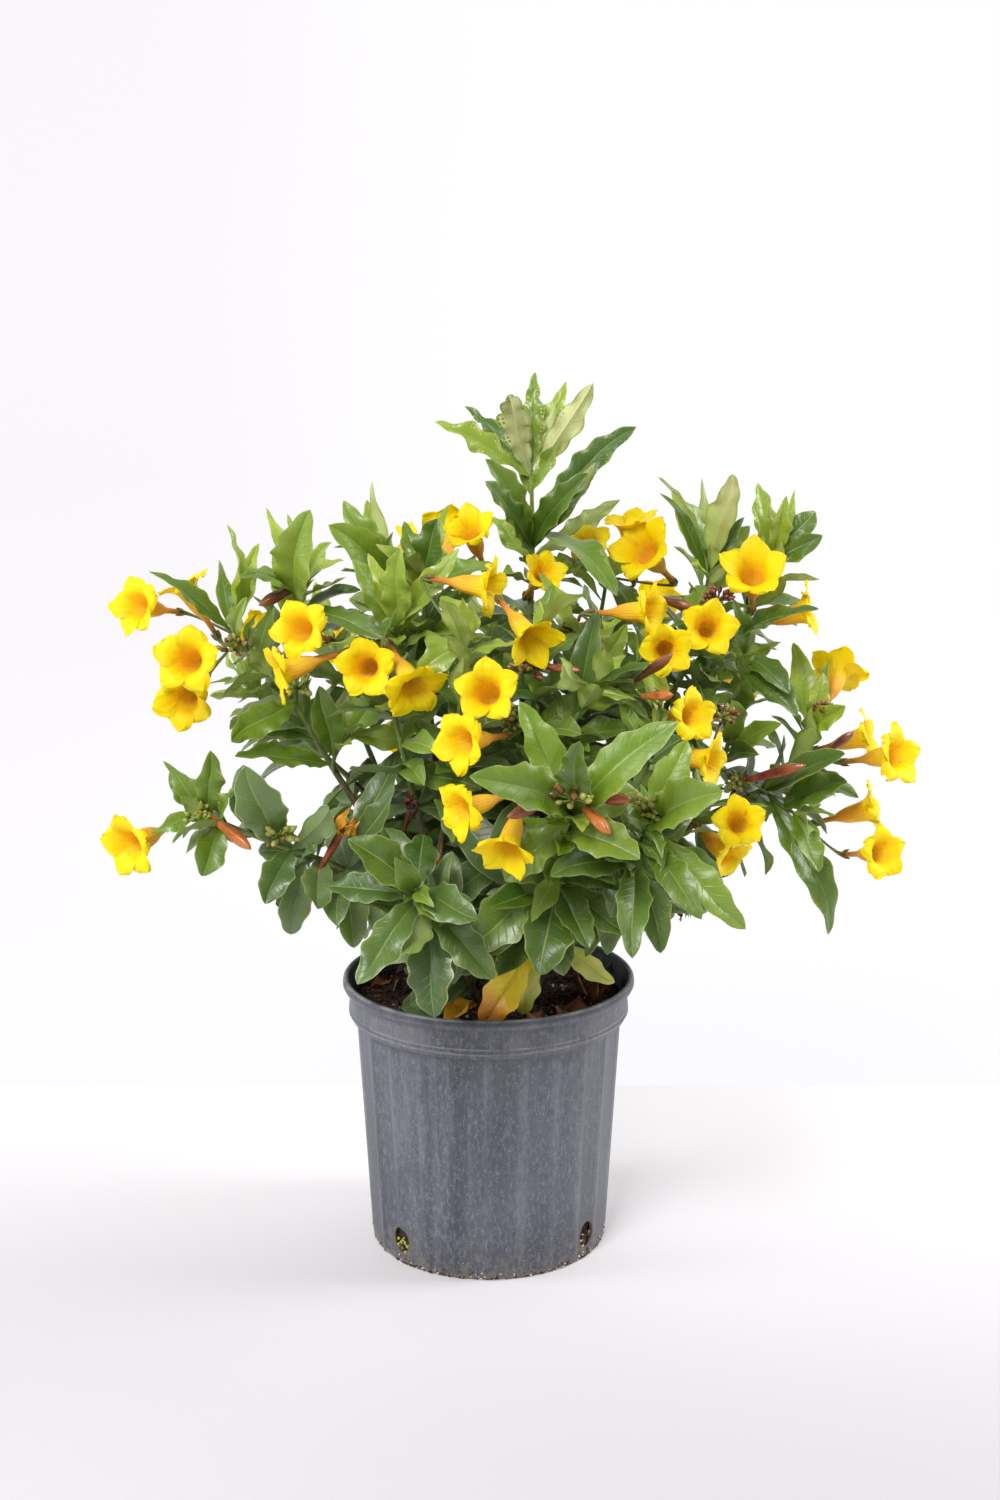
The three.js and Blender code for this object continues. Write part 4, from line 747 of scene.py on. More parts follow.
def whorl_leaf(crowd, cane, spot, turn, seed, rows):
    """One leaf of a whorl, tried at slightly other angles until it stands clear."""
    place, way, back = spot
    draw = draws(seed)
    lead = (0.21, 0.37, 0.9) if abs(way[2]) < 0.9 else (1, 0.2, 0.1)
    side = square_to(lead, way)
    other = cross(way, side)
    for trial in range(WHORL_TRIALS):
        angle = turn + (draw() - 0.5) * (0.5 + 0.12 * trial)
        out = plus(times(side, math.cos(angle)), times(other, math.sin(angle)))
        spread = 62 - 62 * min(1, back / 170) + 34 * (draw() - 0.5) * (1 + 0.1 * trial)
        rise = spread * math.pi / 180
        long = (66 + 40 * min(1, back / 120)) * (0.8 + 0.3 * draw()) * (1 - 0.03 * trial) * rows["reach"]
        sag = (0, 0, -0.25 * min(1, back / 150) - 0.05)
        aim = unit(plus(plus(times(out, math.cos(rise)), times(way, math.sin(rise))), sag))
        width = long * (rows["breadth"] + 0.1 * draw())
        ring = math.sqrt(place[0] ** 2 + place[1] ** 2) + 40
        up = plus(times(way, 0.4), (place[0] / ring * 0.6, place[1] / ring * 0.6, 0.6))
        if length(cross(up, aim)) < 0.3:
            up = times(out, -1)
        leaf = Leaf(cane, place, plus(place, times(aim, long)), width, up, seed + 13 * trial)
        samples = leaf.samples()
        if not (keeps_outline(samples) and crowd.shows_blooms(samples)):
            continue
        if crowd.is_free(samples, cane, rows["crowding"], rows["near"]):
            return leaf, samples
    return None


def place_whorls(crowd, leaves, rows):
    """Whorls at even steps back from every tip."""
    number = 0
    for cane, branches in CANES.items():
        for branch in branches:
            leafy = min(branch_length(branch) - BARE_LENGTH, LEAFY_LENGTH)
            back = rows["start"]
            while back < leafy:
                number += 1
                spot = (*place_back(branch, back), back)
                start = draws(rows["seed"] + number)() * 2 * math.pi
                for k in range(rows["count"]):
                    turn = start + 2 * math.pi * k / rows["count"]
                    seed = rows["seed"] * 4 + number * 61 + k * 17
                    found = whorl_leaf(crowd, cane, spot, turn, seed, rows)
                    if found:
                        settle(crowd, *found, leaves)
                back += rows["step"] * (0.75 + 0.25 * min(1, back / 100))


def enters_a_throat(leaf):
    """Whether a leaf reaches into the throat of a bloom."""
    samples = leaf.samples()
    for bloom in map(Bloom, BLOOMS):
        for point, _ in samples:
            away = times(minus(point, bloom.mouth), 1 / bloom.size)
            ahead = dot(away, bloom.axis)
            if -30 < ahead < 4 and dot(away, away) - ahead ** 2 < THROAT_RADIUS ** 2:
                return True
    return False


def leaf_age(leaf):
    """0 for the newest leaves near a tip, 1 for the oldest, low on the plant."""
    back = min(length(minus(leaf.foot, branch[-1])) for branch in CANES[leaf.cane])
    low = min(1.0, max(0.0, (450 - leaf.foot[2]) / 150))
    broad = 0.22 * min(1.0, max(0.0, (leaf.width - 20) / 14))
    return min(1.0, max(0.0, 0.06 + back / 230 + broad + 0.65 * low + 0.24 * (leaf.tone - 0.5)))


def set_margin(leaf):
    """How strongly and how often a leaf's margin is ruffled."""
    if leaf.cane == "tall":
        leaf.ruffle = TALL_RUFFLE["gain"] * leaf.ruffle + TALL_RUFFLE["more"]
        leaf.ruffles += TALL_RUFFLE["ruffles"]
    else:
        leaf.ruffle = min(leaf.ruffle + RUFFLE_MORE, RUFFLE_SHARE * leaf.width)
        leaf.wave = min(leaf.wave, WAVE_SHARE * leaf.width)
        leaf.ruffles = min(RUFFLES_GAIN * leaf.ruffles, length(minus(leaf.tip, leaf.foot)) / RUFFLE_LENGTH)


def grow():
    """Every leaf of the plant with its fineness, the large ones first, as in the solids."""
    crowd, large, small = make_crowd(), [], []
    place_by_eye(crowd, large, LEAVES, **NAMED)
    place_whorls(crowd, large, LARGE_WHORLS)
    for low, high in SHOWN_STEMS:
        for k in range(SHOWN_STEM_SPOTS + 1):
            point = between(low, high, k / SHOWN_STEM_SPOTS)
            crowd.faces.append((*flat_place(point), point[1] + 4, SHOWN_STEM_WIDTH))
    place_by_eye(crowd, small, EXTRA_LEAVES, **EXTRA)
    for rows in SMALL_WHORLS:
        place_whorls(crowd, small, rows)
    small = [leaf for leaf in small if not enters_a_throat(leaf)]
    for leaf in large + small:
        set_margin(leaf)
    for leaf in large:
        leaf.yellow = YELLOWING.get(leaf.row, 0.0)
        if leaf.row in CRUMPLED:
            leaf.ruffle, leaf.ruffles = CRUMPLED[leaf.row], CRUMPLED_RUFFLES
    return [(leaf, LARGE_BLADE) for leaf in large] + [(leaf, SMALL_BLADE) for leaf in small]


def new_object(name, data):
    """A new object of the scene."""
    made = bpy.data.objects.new(name, data)
    bpy.context.scene.collection.objects.link(made)
    return made


# Meshes from rings and sheets
class Shell:
    """Points, faces and marks of one piece, gathered before its mesh is made. Millimetres."""

    def __init__(self, *marks):
        self.points, self.faces, self.count = [], [], 0
        self.marks = {name: [] for name in marks}

    def add(self, points, faces, **marks):
        points = np.asarray(points, float).reshape(-1, 3)
        self.points.append(points)
        for group in faces:
            self.faces += (np.asarray(group, int) + self.count).tolist()
        for name, values in self.marks.items():
            given = np.asarray(marks.get(name, 0.0), float)
            values.append(np.broadcast_to(given.reshape(-1) if given.size > 1 else given, len(points)))
        self.count += len(points)

    def loft(self, rings, **marks):
        """A skin over rings of equally many points, closed by a fan at each end. Marks are for all of it,
        by ring in a column, or by point of a ring in a row."""
        rings = np.asarray(rings, float)
        rows, sides = rings.shape[:2]
        index = np.arange(rows * sides).reshape(rows, sides)
        ahead = np.roll(index, -1, axis=1)
        quads = np.stack([index[:-1], ahead[:-1], ahead[1:], index[1:]], axis=-1).reshape(-1, 4)
        fan = np.arange(1, sides - 1)
        first = np.stack([np.zeros_like(fan), fan + 1, fan], axis=-1)
        last = np.stack([np.zeros_like(fan), fan, fan + 1], axis=-1) + (rows - 1) * sides
        marks = {name: np.broadcast_to(given, (rows, sides)) for name, given in marks.items()}
        self.add(rings, [quads, first, last], **marks)

    def mesh(self, name):
        mesh = bpy.data.meshes.new(name)
        mesh.from_pydata((np.concatenate(self.points) * MM).tolist(), [], self.faces)
        return mesh

    def piece(self, name, material, slot, *nodes, sharp=None):
        """Makes the mesh, gives it its finish, and lets it ride and stand for its solids."""
        mesh = self.mesh(name)
        for mark, values in self.marks.items():
            attribute = mesh.attributes.new(mark, "FLOAT", "POINT")
            attribute.data.foreach_set("value", np.concatenate(values).astype(np.float32))
        if mesh.validate():
            raise RuntimeError(f"{name} had faulty faces")
        mesh.shade_smooth()
        if sharp is not None:
            mesh.set_sharp_from_angle(angle=math.radians(sharp))
        mesh.materials.append(material)
        piece = new_object(name, mesh)
        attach(piece, "root")
        if nodes:
            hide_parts(*nodes)
        return piece


def unit_rows(a):
    return a / np.linalg.norm(a, axis=-1, keepdims=True)


def rod_rings(points, radii, sides, lead=(0.31, 0.87, 0.12), lobes=0.0, lobe_turn=0.0):
    """Rings square to a line of points. With lobes, each ring is five-lobed, turning as it goes."""
    points = np.asarray(points, float)
    ways = unit_rows(np.gradient(points, axis=0))
    angles = 2 * math.pi * np.arange(sides) / sides
    rings = []
    side = np.asarray(lead, float)
    for i, (point, way, radius) in enumerate(zip(points, ways, radii)):
        side = side - way * side.dot(way)
        side /= np.linalg.norm(side)
        other = np.cross(way, side)
        swell = 1 + lobes * np.cos(5 * angles + lobe_turn * i)
        out = np.cos(angles)[:, None] * side + np.sin(angles)[:, None] * other
        rings.append(point + radius * swell[:, None] * out)
    return np.array(rings)


def eased(branch, rounds=2):
    """A branch with its corners cut, but with its ends kept."""
    points = [np.asarray(p, float) for p in branch]
    for _ in range(rounds):
        cut = [points[0]]
        for a, b in zip(points, points[1:]):
            cut += [a + (b - a) * 0.22, a + (b - a) * 0.78]
        points = cut + [points[-1]]
    return points


def respaced(points, step):
    """The same line with points at even steps."""
    points = np.asarray(points, float)
    run = np.concatenate([[0], np.cumsum(np.linalg.norm(np.diff(points, axis=0), axis=1))])
    places = np.linspace(0, run[-1], max(3, int(run[-1] / step) + 1))
    return np.stack([np.interp(places, run, points[:, i]) for i in range(3)], axis=1), places


LARGE_BLADE = {"stations": 32, "spread": [-1, -0.8, -0.5, -0.13, 0, 0.13, 0.5, 0.8, 1]}
SMALL_BLADE = {"stations": 14, "spread": [-1, -0.6, 0, 0.6, 1]}
BLADE_THICKNESS = 0.5
BLADE_MARKS = ("along", "across", "under", "tone", "age", "yellow", "broad", "seed")
PETIOLE_HALF = 0.9


def add_blade(shell, leaf, fineness=LARGE_BLADE, thickness=BLADE_THICKNESS):
    """A leaf as a closed thin blade along its solid, with waved margins and a drawn-out tip."""
    t = np.linspace(0, 1, fineness["stations"] + 1)[:, None]
    foot, tip, knee = (np.asarray(v, float) for v in (leaf.foot, leaf.tip, leaf.knee))
    long = np.linalg.norm(tip - foot)
    u = 1 - t
    middle = foot * u * u + knee * 2 * u * t + tip * t * t
    way = unit_rows((knee - foot) * u + (tip - knee) * t)
    flat_side = np.broadcast_to(np.asarray(leaf.side), way.shape)
    flat_up = unit_rows(np.cross(flat_side, way))
    turn = leaf.twist * t
    side = flat_side * np.cos(turn) + flat_up * np.sin(turn)
    up = flat_up * np.cos(turn) - flat_side * np.sin(turn)
    middle = middle + side * (leaf.sway * long * np.sin(2 * math.pi * t) * t)
    middle = middle + up * (leaf.hook * long * np.clip(t - 0.55, 0, 1) ** 2)
    youth = 1 - leaf.age
    # Narrow young leaves end in a drawn-out point; broad old ones are fuller and blunt
    full = min(1.0, max(0.0, (leaf.width - 14) / 12)) * (0.72 + 0.28 * leaf.age)
    breadth = np.sin(math.pi * t ** (1.16 + 0.12 * full)).clip(0) ** (1.05 - 0.43 * full)
    drawn_out = 1 - (0.08 + 0.36 * (1 - full)) * np.sin(math.pi * np.clip((t - 0.6) / 0.4, 0, 1)) ** 1.5
    half = np.maximum(leaf.width * 0.48 * breadth * drawn_out, PETIOLE_HALF * (1 - 0.8 * t))
    top, under = [], []
    spread = fineness["spread"]
    rate = 2 * math.pi * min(leaf.ruffles, fineness["stations"] / 6)
    ruffle = leaf.ruffle * (0.55 + 0.65 * youth)
    edging = min(0.17, 0.03 + 0.035 * leaf.ruffle) if fineness is LARGE_BLADE else 0.03
    for s in spread:
        phase = leaf.phase + (1.9 if s > 0 else 0)
        ripple = leaf.wave * np.sin(2 * math.pi * leaf.waves * t + phase) * breadth
        crinkle = ruffle * np.sin(rate * t + 3 * phase) * breadth
        wide = half * (1 + edging * abs(s) ** 3 * np.sin(rate * t + 3 * phase + 1.2))
        bow = half * (abs(s) * (leaf.fold + 0.3) - 0.3 * s * s)
        lift = bow + abs(s) * ripple + abs(s) ** 2.5 * crinkle
        place = middle + side * wide * s + up * lift
        rib = math.exp(-(s / 0.1) ** 2)
        body = thickness * (1 - abs(s) ** 3) * np.minimum(1, half / 3)
        top.append(place + up * (body / 2 - 0.3 * rib * breadth))
        under.append(place - up * (body / 2 + 0.55 * rib * np.minimum(1, half / 2)))
    rings = np.stack(top + under[-2:0:-1], axis=1)
    across = spread + spread[-2:0:-1]
    below = [0] * len(spread) + [1] * (len(spread) - 2)
    shell.loft(
        rings[:, ::-1], along=t, across=across[::-1], under=below[::-1],
        tone=leaf.tone, age=leaf.age, yellow=leaf.yellow, broad=leaf.width, seed=leaf.seed, kind=leaf.kind,
    )


def add_rod(shell, points, radii, sides, **marks):
    shell.loft(rod_rings(points, radii, sides), **marks)


def bloom_sheet(bloom, ahead, radial, tangential, angle):
    """A point of a corolla: ahead along its axis, out from it at an angle, and round it by an arc."""
    side, other, axis = (np.asarray(v) for v in (bloom.side, bloom.other, bloom.axis))
    turn = angle + tangential / radial
    out = np.cos(turn)[..., None] * side + np.sin(turn)[..., None] * other
    slim = 1 - (1 - bloom.fullness) * np.clip((ahead + 40) / 28, 0, 1)
    away = ahead[..., None] * axis + (radial * slim)[..., None] * out
    return np.asarray(bloom.mouth, float) + bloom.size * away


# Corolla: how far ahead of the mouth each ring of the tube lies, and its outer radius. The lining starts at
# the fifth ring, and a lobe is widest a little past its middle
TUBE = np.array([
    (-58, 1.9), (-54, 2.3), (-48, 2.4), (-42, 2.5), (-37, 2.9), (-33, 4.0), (-29.5, 5.7), (-26, 7.0),
    (-21.5, 8.1), (-16.5, 8.9), (-12, 9.5), (-9, 10.1), (-7, 10.8),
])
TUBE_LINING = 5
PETAL_SKIN = 0.5
LOBE_ROWS = 17
LOBE_SPREAD = np.array([-1, -0.9, -0.72, -0.46, -0.16, 0.16, 0.46, 0.72, 0.9, 1])
LOBE_RISE = 11.2
LOBE_HALF = 14.9
WIDEST = 0.55
LOBE_TURN = 2 * math.pi / 5


def tube_rows(bloom, lining):
    """The rings of the tube, as lobe by lobe columns: its outer skin, or its lining."""
    ahead, radius = TUBE[:, 0, None, None], TUBE[:, 1, None, None]
    turn = LOBE_TURN * (np.arange(5)[:, None] + LOBE_SPREAD[None, :] / 2)[None]
    lobed = 1 + 0.04 * np.cos(5 * turn) * np.sin(math.pi * np.clip((ahead + 32) / 26, 0, 1))
    return bloom_sheet(bloom, ahead + 0 * turn, (radius - lining * PETAL_SKIN) * lobed, 0 * turn,
                       turn + math.radians(bloom.roll))


def lobe_rows(bloom, number, draw):
    """The two skins of one spread lobe, beyond the tube. Its right edge stands ahead of its left."""
    v = np.linspace(0, 1, LOBE_ROWS + 1)[1:, None]
    s = LOBE_SPREAD[None, :]
    start, foot = TUBE[-1]
    point = min(1, max(0, bloom.star + 0.5 * (draw() - 0.5)))
    long = (BLOOM_RADIUS - foot) * (1.02 + 0.14 * draw() + 0.16 * point)
    broad = LOBE_HALF * (0.93 + 0.15 * draw())
    droop = bloom.cup + 7 * (draw() - 0.5)
    curl = 0.8 + 3.4 * draw()
    phase = 2 * math.pi * draw()
    round_end = np.sqrt(np.clip(1 - ((v - WIDEST) / 0.47) ** 2, 0, 1))
    sharp_end = 1 - 0.86 * np.clip((v - WIDEST) / 0.45, 0, 1) ** 1.5
    seam = foot * LOBE_TURN / 2
    half = np.where(v < WIDEST, seam + (broad - seam) * np.sin(math.pi / 2 * v / WIDEST) ** 0.9,
                    broad * ((1 - point) * round_end + point * sharp_end))
    radial = foot + long * v ** 1.25 + 0.4 * s * v + 1.2 * s * v ** 2
    radial = radial + 0.6 * np.sin(3 * math.pi * s + phase) * v ** 3 + 0.06 * half * s ** 2 * v
    tangential = half * s + (0.6 + 2.2 * point) * v ** 2
    ahead = start + LOBE_RISE * (1 - (1 - v) ** 2.6) - droop * v ** 2
    ahead = ahead + 1.4 * s * np.minimum(1, v * 2.2) + 1.1 * np.cos(2.3 * math.pi * s + phase) * v ** 1.6
    ahead = ahead - curl * np.abs(s) ** 2.6 * v ** 1.2 + 0.7 * np.sin(9 * v + phase) * s ** 2 * v
    angle = LOBE_TURN * number + np.radians(bloom.roll + 9 * (draw() - 0.5) * v)
    upright = (1 - v) ** 2
    thin = PETAL_SKIN * (1 - np.abs(s) ** 4) * (1 - v ** 6)
    outer = bloom_sheet(bloom, ahead - thin * (1 - upright), radial + 0 * ahead, tangential, angle)
    lining = bloom_sheet(bloom, ahead, radial - thin * upright, tangential, angle)
    return outer, lining


def add_corolla(shell, row, seed):
    """Tube, throat and five lobes as one closed skin, the lobes parted beyond the tube."""
    bloom = Bloom(row)
    draw = draws(seed)
    star, bloom.cup, bloom.fullness = BLOOM_FORMS.get(bloom.number, USUAL_FORM)
    bloom.star = 0.6 * star
    tone = draw()
    lobes = [lobe_rows(bloom, number, draw) for number in range(5)]
    # Two skins, outer and lining, each of rows from the stalk to the rims, of five lobes across
    points = np.stack([
        np.concatenate([tube_rows(bloom, skin), np.stack([lobe[skin] for lobe in lobes], axis=1)])
        for skin in (0, 1)])
    tube = len(TUBE)
    index = np.arange(points[..., 0].size).reshape(points.shape[:-1])
    # Lobes share their seams along the tube; the two skins share the edges of the lobes
    index[:, :tube, :, -1] = np.roll(index[:, :tube, :, 0], -1, axis=2)
    index[1, tube:, :, 0], index[1, tube:, :, -1] = index[0, tube:, :, 0], index[0, tube:, :, -1]
    index[1, -1] = index[0, -1]
    faces = []
    for skin, start in ((0, 0), (1, TUBE_LINING)):
        grid = index[skin, start:]
        quads = np.stack([grid[:-1, :, :-1], grid[:-1, :, 1:], grid[1:, :, 1:], grid[1:, :, :-1]], axis=-1)
        quads = quads.reshape(-1, 4)
        ring = grid[0, :, :-1].reshape(-1)
        fan = np.stack([np.full(ring.size - 2, ring[0]), ring[2:], ring[1:-1]], axis=-1)
        faces += [quads[:, ::-1], fan[:, ::-1]] if skin else [quads, fan]
    for lobe in range(5):
        low, high = index[0, tube - 1, lobe, -1], index[1, tube - 1, lobe, -1]
        faces.append(np.array([[low, high, index[0, tube, lobe, -1]],
                               [high, low, index[0, tube, (lobe + 1) % 5, 0]]]))
    used = np.unique(np.concatenate([group.reshape(-1) for group in faces]))
    reach = np.concatenate([1 + TUBE[:, 0] / BLOOM_LENGTH, 1 + np.linspace(0, 1, LOBE_ROWS + 1)[1:]])
    shape = points.shape[:-1]
    marks = {
        "reach": np.broadcast_to(reach[None, :, None, None], shape),
        "inside": np.broadcast_to(np.array([0.0, 1.0])[:, None, None, None], shape),
        "spoke": np.broadcast_to(0.1 * np.abs(LOBE_SPREAD), shape),
    }
    marks["inside"] = np.where(marks["reach"] > 1.999, 1.0, marks["inside"])
    shell.add(points.reshape(-1, 3)[used], [np.searchsorted(used, group) for group in faces], tone=tone,
              **{name: values.reshape(-1)[used] for name, values in marks.items()})


# Finishes: node materials with colour, roughness and relief of their own
class Finish:
    """A material and short ways to add nodes to it."""

    def __init__(self, name, rough, specular=0.5):
        self.material = bpy.data.materials.new(name)
        self.material.use_nodes = True
        self.tree = self.material.node_tree
        self.shader = self.tree.nodes["Principled BSDF"]
        self.set("Roughness", rough)
        self.set("Specular IOR Level", specular)
        self.where = self.node("TexCoord").outputs["Object"]

    def set(self, socket, value):
        self.plug(self.shader, socket, value)

    def node(self, kind):
        return self.tree.nodes.new("ShaderNode" + kind)

    def plug(self, node, name, value):
        if isinstance(value, bpy.types.NodeSocket):
            self.tree.links.new(value, node.inputs[name])
        elif value is not None:
            node.inputs[name].default_value = value

    def mark(self, name):
        node = self.node("Attribute")
        node.attribute_name = name
        return node.outputs["Fac"]

    def math(self, operation, a, b=None):
        node = self.node("Math")
        node.operation = operation
        self.plug(node, 0, a)
        self.plug(node, 1, b)
        return node.outputs[0]

    def times(self, a, b):
        return self.math("MULTIPLY", a, b)

    def plus(self, a, b):
        return self.math("ADD", a, b)

    def place(self):
        """The place on the part, in metres, as X, Y and Z."""
        node = self.node("SeparateXYZ")
        self.plug(node, 0, self.where)
        return node.outputs

    def fade(self, value, low, high, start=0.0, end=1.0):
        """Goes smoothly from start to end while value goes from low to high."""
        node = self.node("MapRange")
        node.interpolation_type = "SMOOTHSTEP"
        names = ("Value", "From Min", "From Max", "To Min", "To Max")
        for name, given in zip(names, (value, low, high, start, end)):
            self.plug(node, name, given)
        return node.outputs[0]

    def fall(self, value, low, high):
        return self.fade(value, low, high, 1.0, 0.0)

    def mix(self, share, a, b):
        node = self.node("Mix")
        node.data_type = "RGBA"
        self.plug(node, 0, share)
        self.plug(node, 6, self.colour(a))
        self.plug(node, 7, self.colour(b))
        return node.outputs[2]

    @staticmethod
    def colour(value):
        return value if isinstance(value, bpy.types.NodeSocket) else (*value[:3], 1.0)

    def ramp(self, value, *stops):
        node = self.node("ValToRGB")
        elements = node.color_ramp.elements
        while len(elements) < len(stops):
            elements.new(0.5)
        for element, (place, shade) in zip(elements, stops):
            element.position = place
            element.color = self.colour(shade)
        self.plug(node, 0, value)
        return node.outputs[0]

    def noise(self, scale, detail=2.0, rough=0.5, upright=None):
        """Cloudy grain, drawn out upwards where its scale upright is under 1."""
        node = self.node("TexNoise")
        where = self.where
        if upright is not None:
            drawn_out = self.node("Mapping")
            self.plug(drawn_out, "Vector", where)
            self.plug(drawn_out, "Scale", (1, 1, upright))
            where = drawn_out.outputs[0]
        self.plug(node, "Vector", where)
        self.plug(node, "Scale", scale)
        self.plug(node, "Detail", detail)
        self.plug(node, "Roughness", rough)
        return node.outputs["Fac"]

    def cells(self, scale):
        node = self.node("TexVoronoi")
        self.plug(node, "Vector", self.where)
        self.plug(node, "Scale", scale)
        return node.outputs["Distance"]

    def relief(self, height, distance, strength):
        """Bumps of a height, given in metres for a full step."""
        node = self.node("Bump")
        self.plug(node, "Height", height)
        self.plug(node, "Distance", distance)
        self.plug(node, "Strength", strength)
        return node.outputs[0]


def rgb(red, green, blue):
    """A colour given as seen on a screen, 0 to 255, as linear light."""
    def linear(v):
        v /= 255
        return v / 12.92 if v <= 0.04045 else ((v + 0.055) / 1.055) ** 2.4
    return (linear(red), linear(green), linear(blue))


def leaf_finish(settings):
    f = Finish("leaf_blade", 0.35, specular=0.7)
    age, tone, yellow, seed = f.mark("age"), f.mark("tone"), f.mark("yellow"), f.mark("seed")
    across, along_leaf, under = f.mark("across"), f.mark("along"), f.mark("under")
    aside = f.math("ABSOLUTE", across)
    top = f.ramp(
        age, (0.0, settings.fresh), (0.2, settings.grown), (0.55, settings.old), (1.0, settings.lowest))
    patch, youth = f.noise(38, 3, 0.6), f.fade(age, 0.2, 0.9, 1.0, 0.15)
    top = f.mix(f.times(youth, f.fade(patch, 0.35, 0.7, 0.0, 0.4)), top, rgb(126, 156, 44))
    top = f.mix(f.fade(tone, 0.35, 1.0, 0.0, 0.75), top, rgb(46, 82, 22))
    top = f.mix(f.times(youth, f.fade(seed, 0.55, 1.0, 0.0, 0.6)), top, rgb(152, 176, 62))
    pale = f.mix(0.5, top, rgb(168, 188, 104))
    # Side veins run forward from the midrib, at alternate heights on the two halves
    step = f.plus(f.times(along_leaf, 13.0), f.times(aside, -1.7))
    step = f.plus(step, f.fade(across, -0.01, 0.01, 0.0, 0.5))
    wave = f.math("ABSOLUTE", f.math("SUBTRACT", f.math("FRACT", step), 0.5))
    vein = f.fall(wave, 0.0, 0.1)
    vein = f.times(vein, f.fall(aside, 0.6, 0.95))
    rib = f.fall(aside, 0.015, 0.06)
    shade = f.mix(f.times(vein, 0.16), top, pale)
    shade = f.mix(f.times(rib, f.fade(seed, 0.0, 1.0, 0.3, 0.75)), shade, rgb(170, 188, 104))
    edge = f.times(f.fade(aside, 0.92, 0.99), f.fade(age, 0.1, 0.9, 0.25, 0.75))
    shade = f.mix(edge, shade, rgb(178, 190, 122))
    bare = f.mix(f.fade(f.place()["Z"], 0.62, 0.68), rgb(182, 198, 112), rgb(216, 216, 160))
    back = f.mix(f.fade(age, 0.05, 0.5, 0.85, 0.5), shade, f.mix(youth, rgb(136, 156, 104), bare))
    shade = f.mix(under, shade, back)
    # Turning leaves: pale yellow-green at 1, orange and yellow at 2
    paling = f.mix(f.fade(f.noise(60, 3), 0.4, 0.7, 0.0, 0.6), rgb(210, 212, 100), rgb(176, 192, 84))
    autumn = f.ramp(
        along_leaf, (0.3, rgb(238, 206, 30)), (0.55, rgb(244, 214, 30)),
        (0.64, rgb(240, 190, 20)), (0.78, rgb(230, 148, 14)), (1.0, rgb(190, 108, 18)))
    shade = f.mix(f.fade(yellow, 0.0, 1.0), shade, paling)
    shade = f.mix(f.fade(yellow, 1.0, 2.0), shade, autumn)
    dry = f.times(f.fade(f.noise(90, 2), 0.62, 0.7, 0.0, 0.5), age)
    shade = f.mix(f.times(dry, 0.35), shade, rgb(140, 136, 80))
    f.set("Base Color", shade)
    f.set("Roughness", f.fade(under, 0.0, 1.0, f.fade(patch, 0.3, 0.7, 0.3, 0.44), 0.6))
    height = f.plus(f.times(vein, -0.6), f.times(f.noise(420, 2), 0.5))
    f.set("Normal", f.relief(height, 0.0006, 0.5))
    f.set("Subsurface Weight", 0.15)
    f.set("Subsurface Radius", (0.004, 0.005, 0.0008))
    f.set("Subsurface Scale", 0.5)
    return f.material


def stem_finish():
    f = Finish("stem_bark", 0.6)
    old, knot = f.mark("age"), f.mark("tone")
    green = f.ramp(f.noise(60, 3), (0.3, rgb(96, 118, 52)), (0.7, rgb(122, 142, 66)))
    grain = f.noise(150, 4, 0.65, 0.3)
    bark = f.ramp(grain, (0.25, rgb(62, 52, 38)), (0.5, rgb(100, 88, 64)), (0.8, rgb(136, 124, 96)))
    red = f.mix(f.fade(knot, 0.0, 1.0), green, rgb(126, 62, 40))
    f.set("Base Color", f.mix(f.fade(old, 0.25, 0.7), red, bark))
    lumps = f.plus(f.noise(300, 3, 0.6), f.cells(240))
    f.set("Normal", f.relief(lumps, 0.0012, 0.6))
    return f.material


def petal_finish(settings):
    f = Finish("petal", 0.5, specular=0.2)
    reach, inside, spoke, tone = f.mark("reach"), f.mark("inside"), f.mark("spoke"), f.mark("tone")
    skin = f.ramp(
        reach, (0.0, rgb(150, 84, 46)), (0.25, rgb(206, 136, 56)), (0.42, rgb(236, 172, 56)),
        (0.75, rgb(246, 196, 48)), (1.0, settings.petal))
    stain = f.mix(f.times(tone, 0.8), rgb(232, 160, 50), rgb(206, 112, 44))
    outer = f.mix(f.fade(f.noise(60, 3), 0.35, 0.7, 0.0, 0.5), skin, stain)
    outer = f.mix(f.fade(reach, 0.8, 1.1), outer, skin)
    # The lining is paler deep in the throat than further out: painted light where the tube lies in shade
    lining = f.ramp(
        f.times(reach, 0.5), (0.2, settings.throat), (0.44, rgb(255, 206, 44)),
        (0.54, rgb(254, 204, 20)), (0.66, settings.petal))
    streak = f.math("ABSOLUTE", f.math("SUBTRACT", f.math("FRACT", f.times(spoke, 45.0)), 0.5))
    streak = f.times(f.fall(streak, 0.05, 0.3), f.fade(reach, 0.6, 1.3, 0.3, 0.0))
    lining = f.mix(streak, lining, rgb(246, 172, 20))
    shade = f.mix(inside, outer, lining)
    rim = f.fade(reach, 1.1, 2.0)
    rim = f.times(rim, f.fade(f.noise(70), 0.3, 0.7, 0.1, 0.6))
    shade = f.mix(rim, shade, settings.petal_tip)
    f.set("Base Color", shade)
    ribs = f.math("SINE", f.times(spoke, 150.0))
    height = f.plus(f.times(ribs, 0.3), f.times(f.noise(200, 3), 0.9))
    f.set("Normal", f.relief(height, 0.0007, 0.5))
    f.set("Subsurface Weight", 0.25)
    f.set("Subsurface Radius", (0.006, 0.003, 0.0005))
    f.set("Subsurface Scale", 0.6)
    return f.material


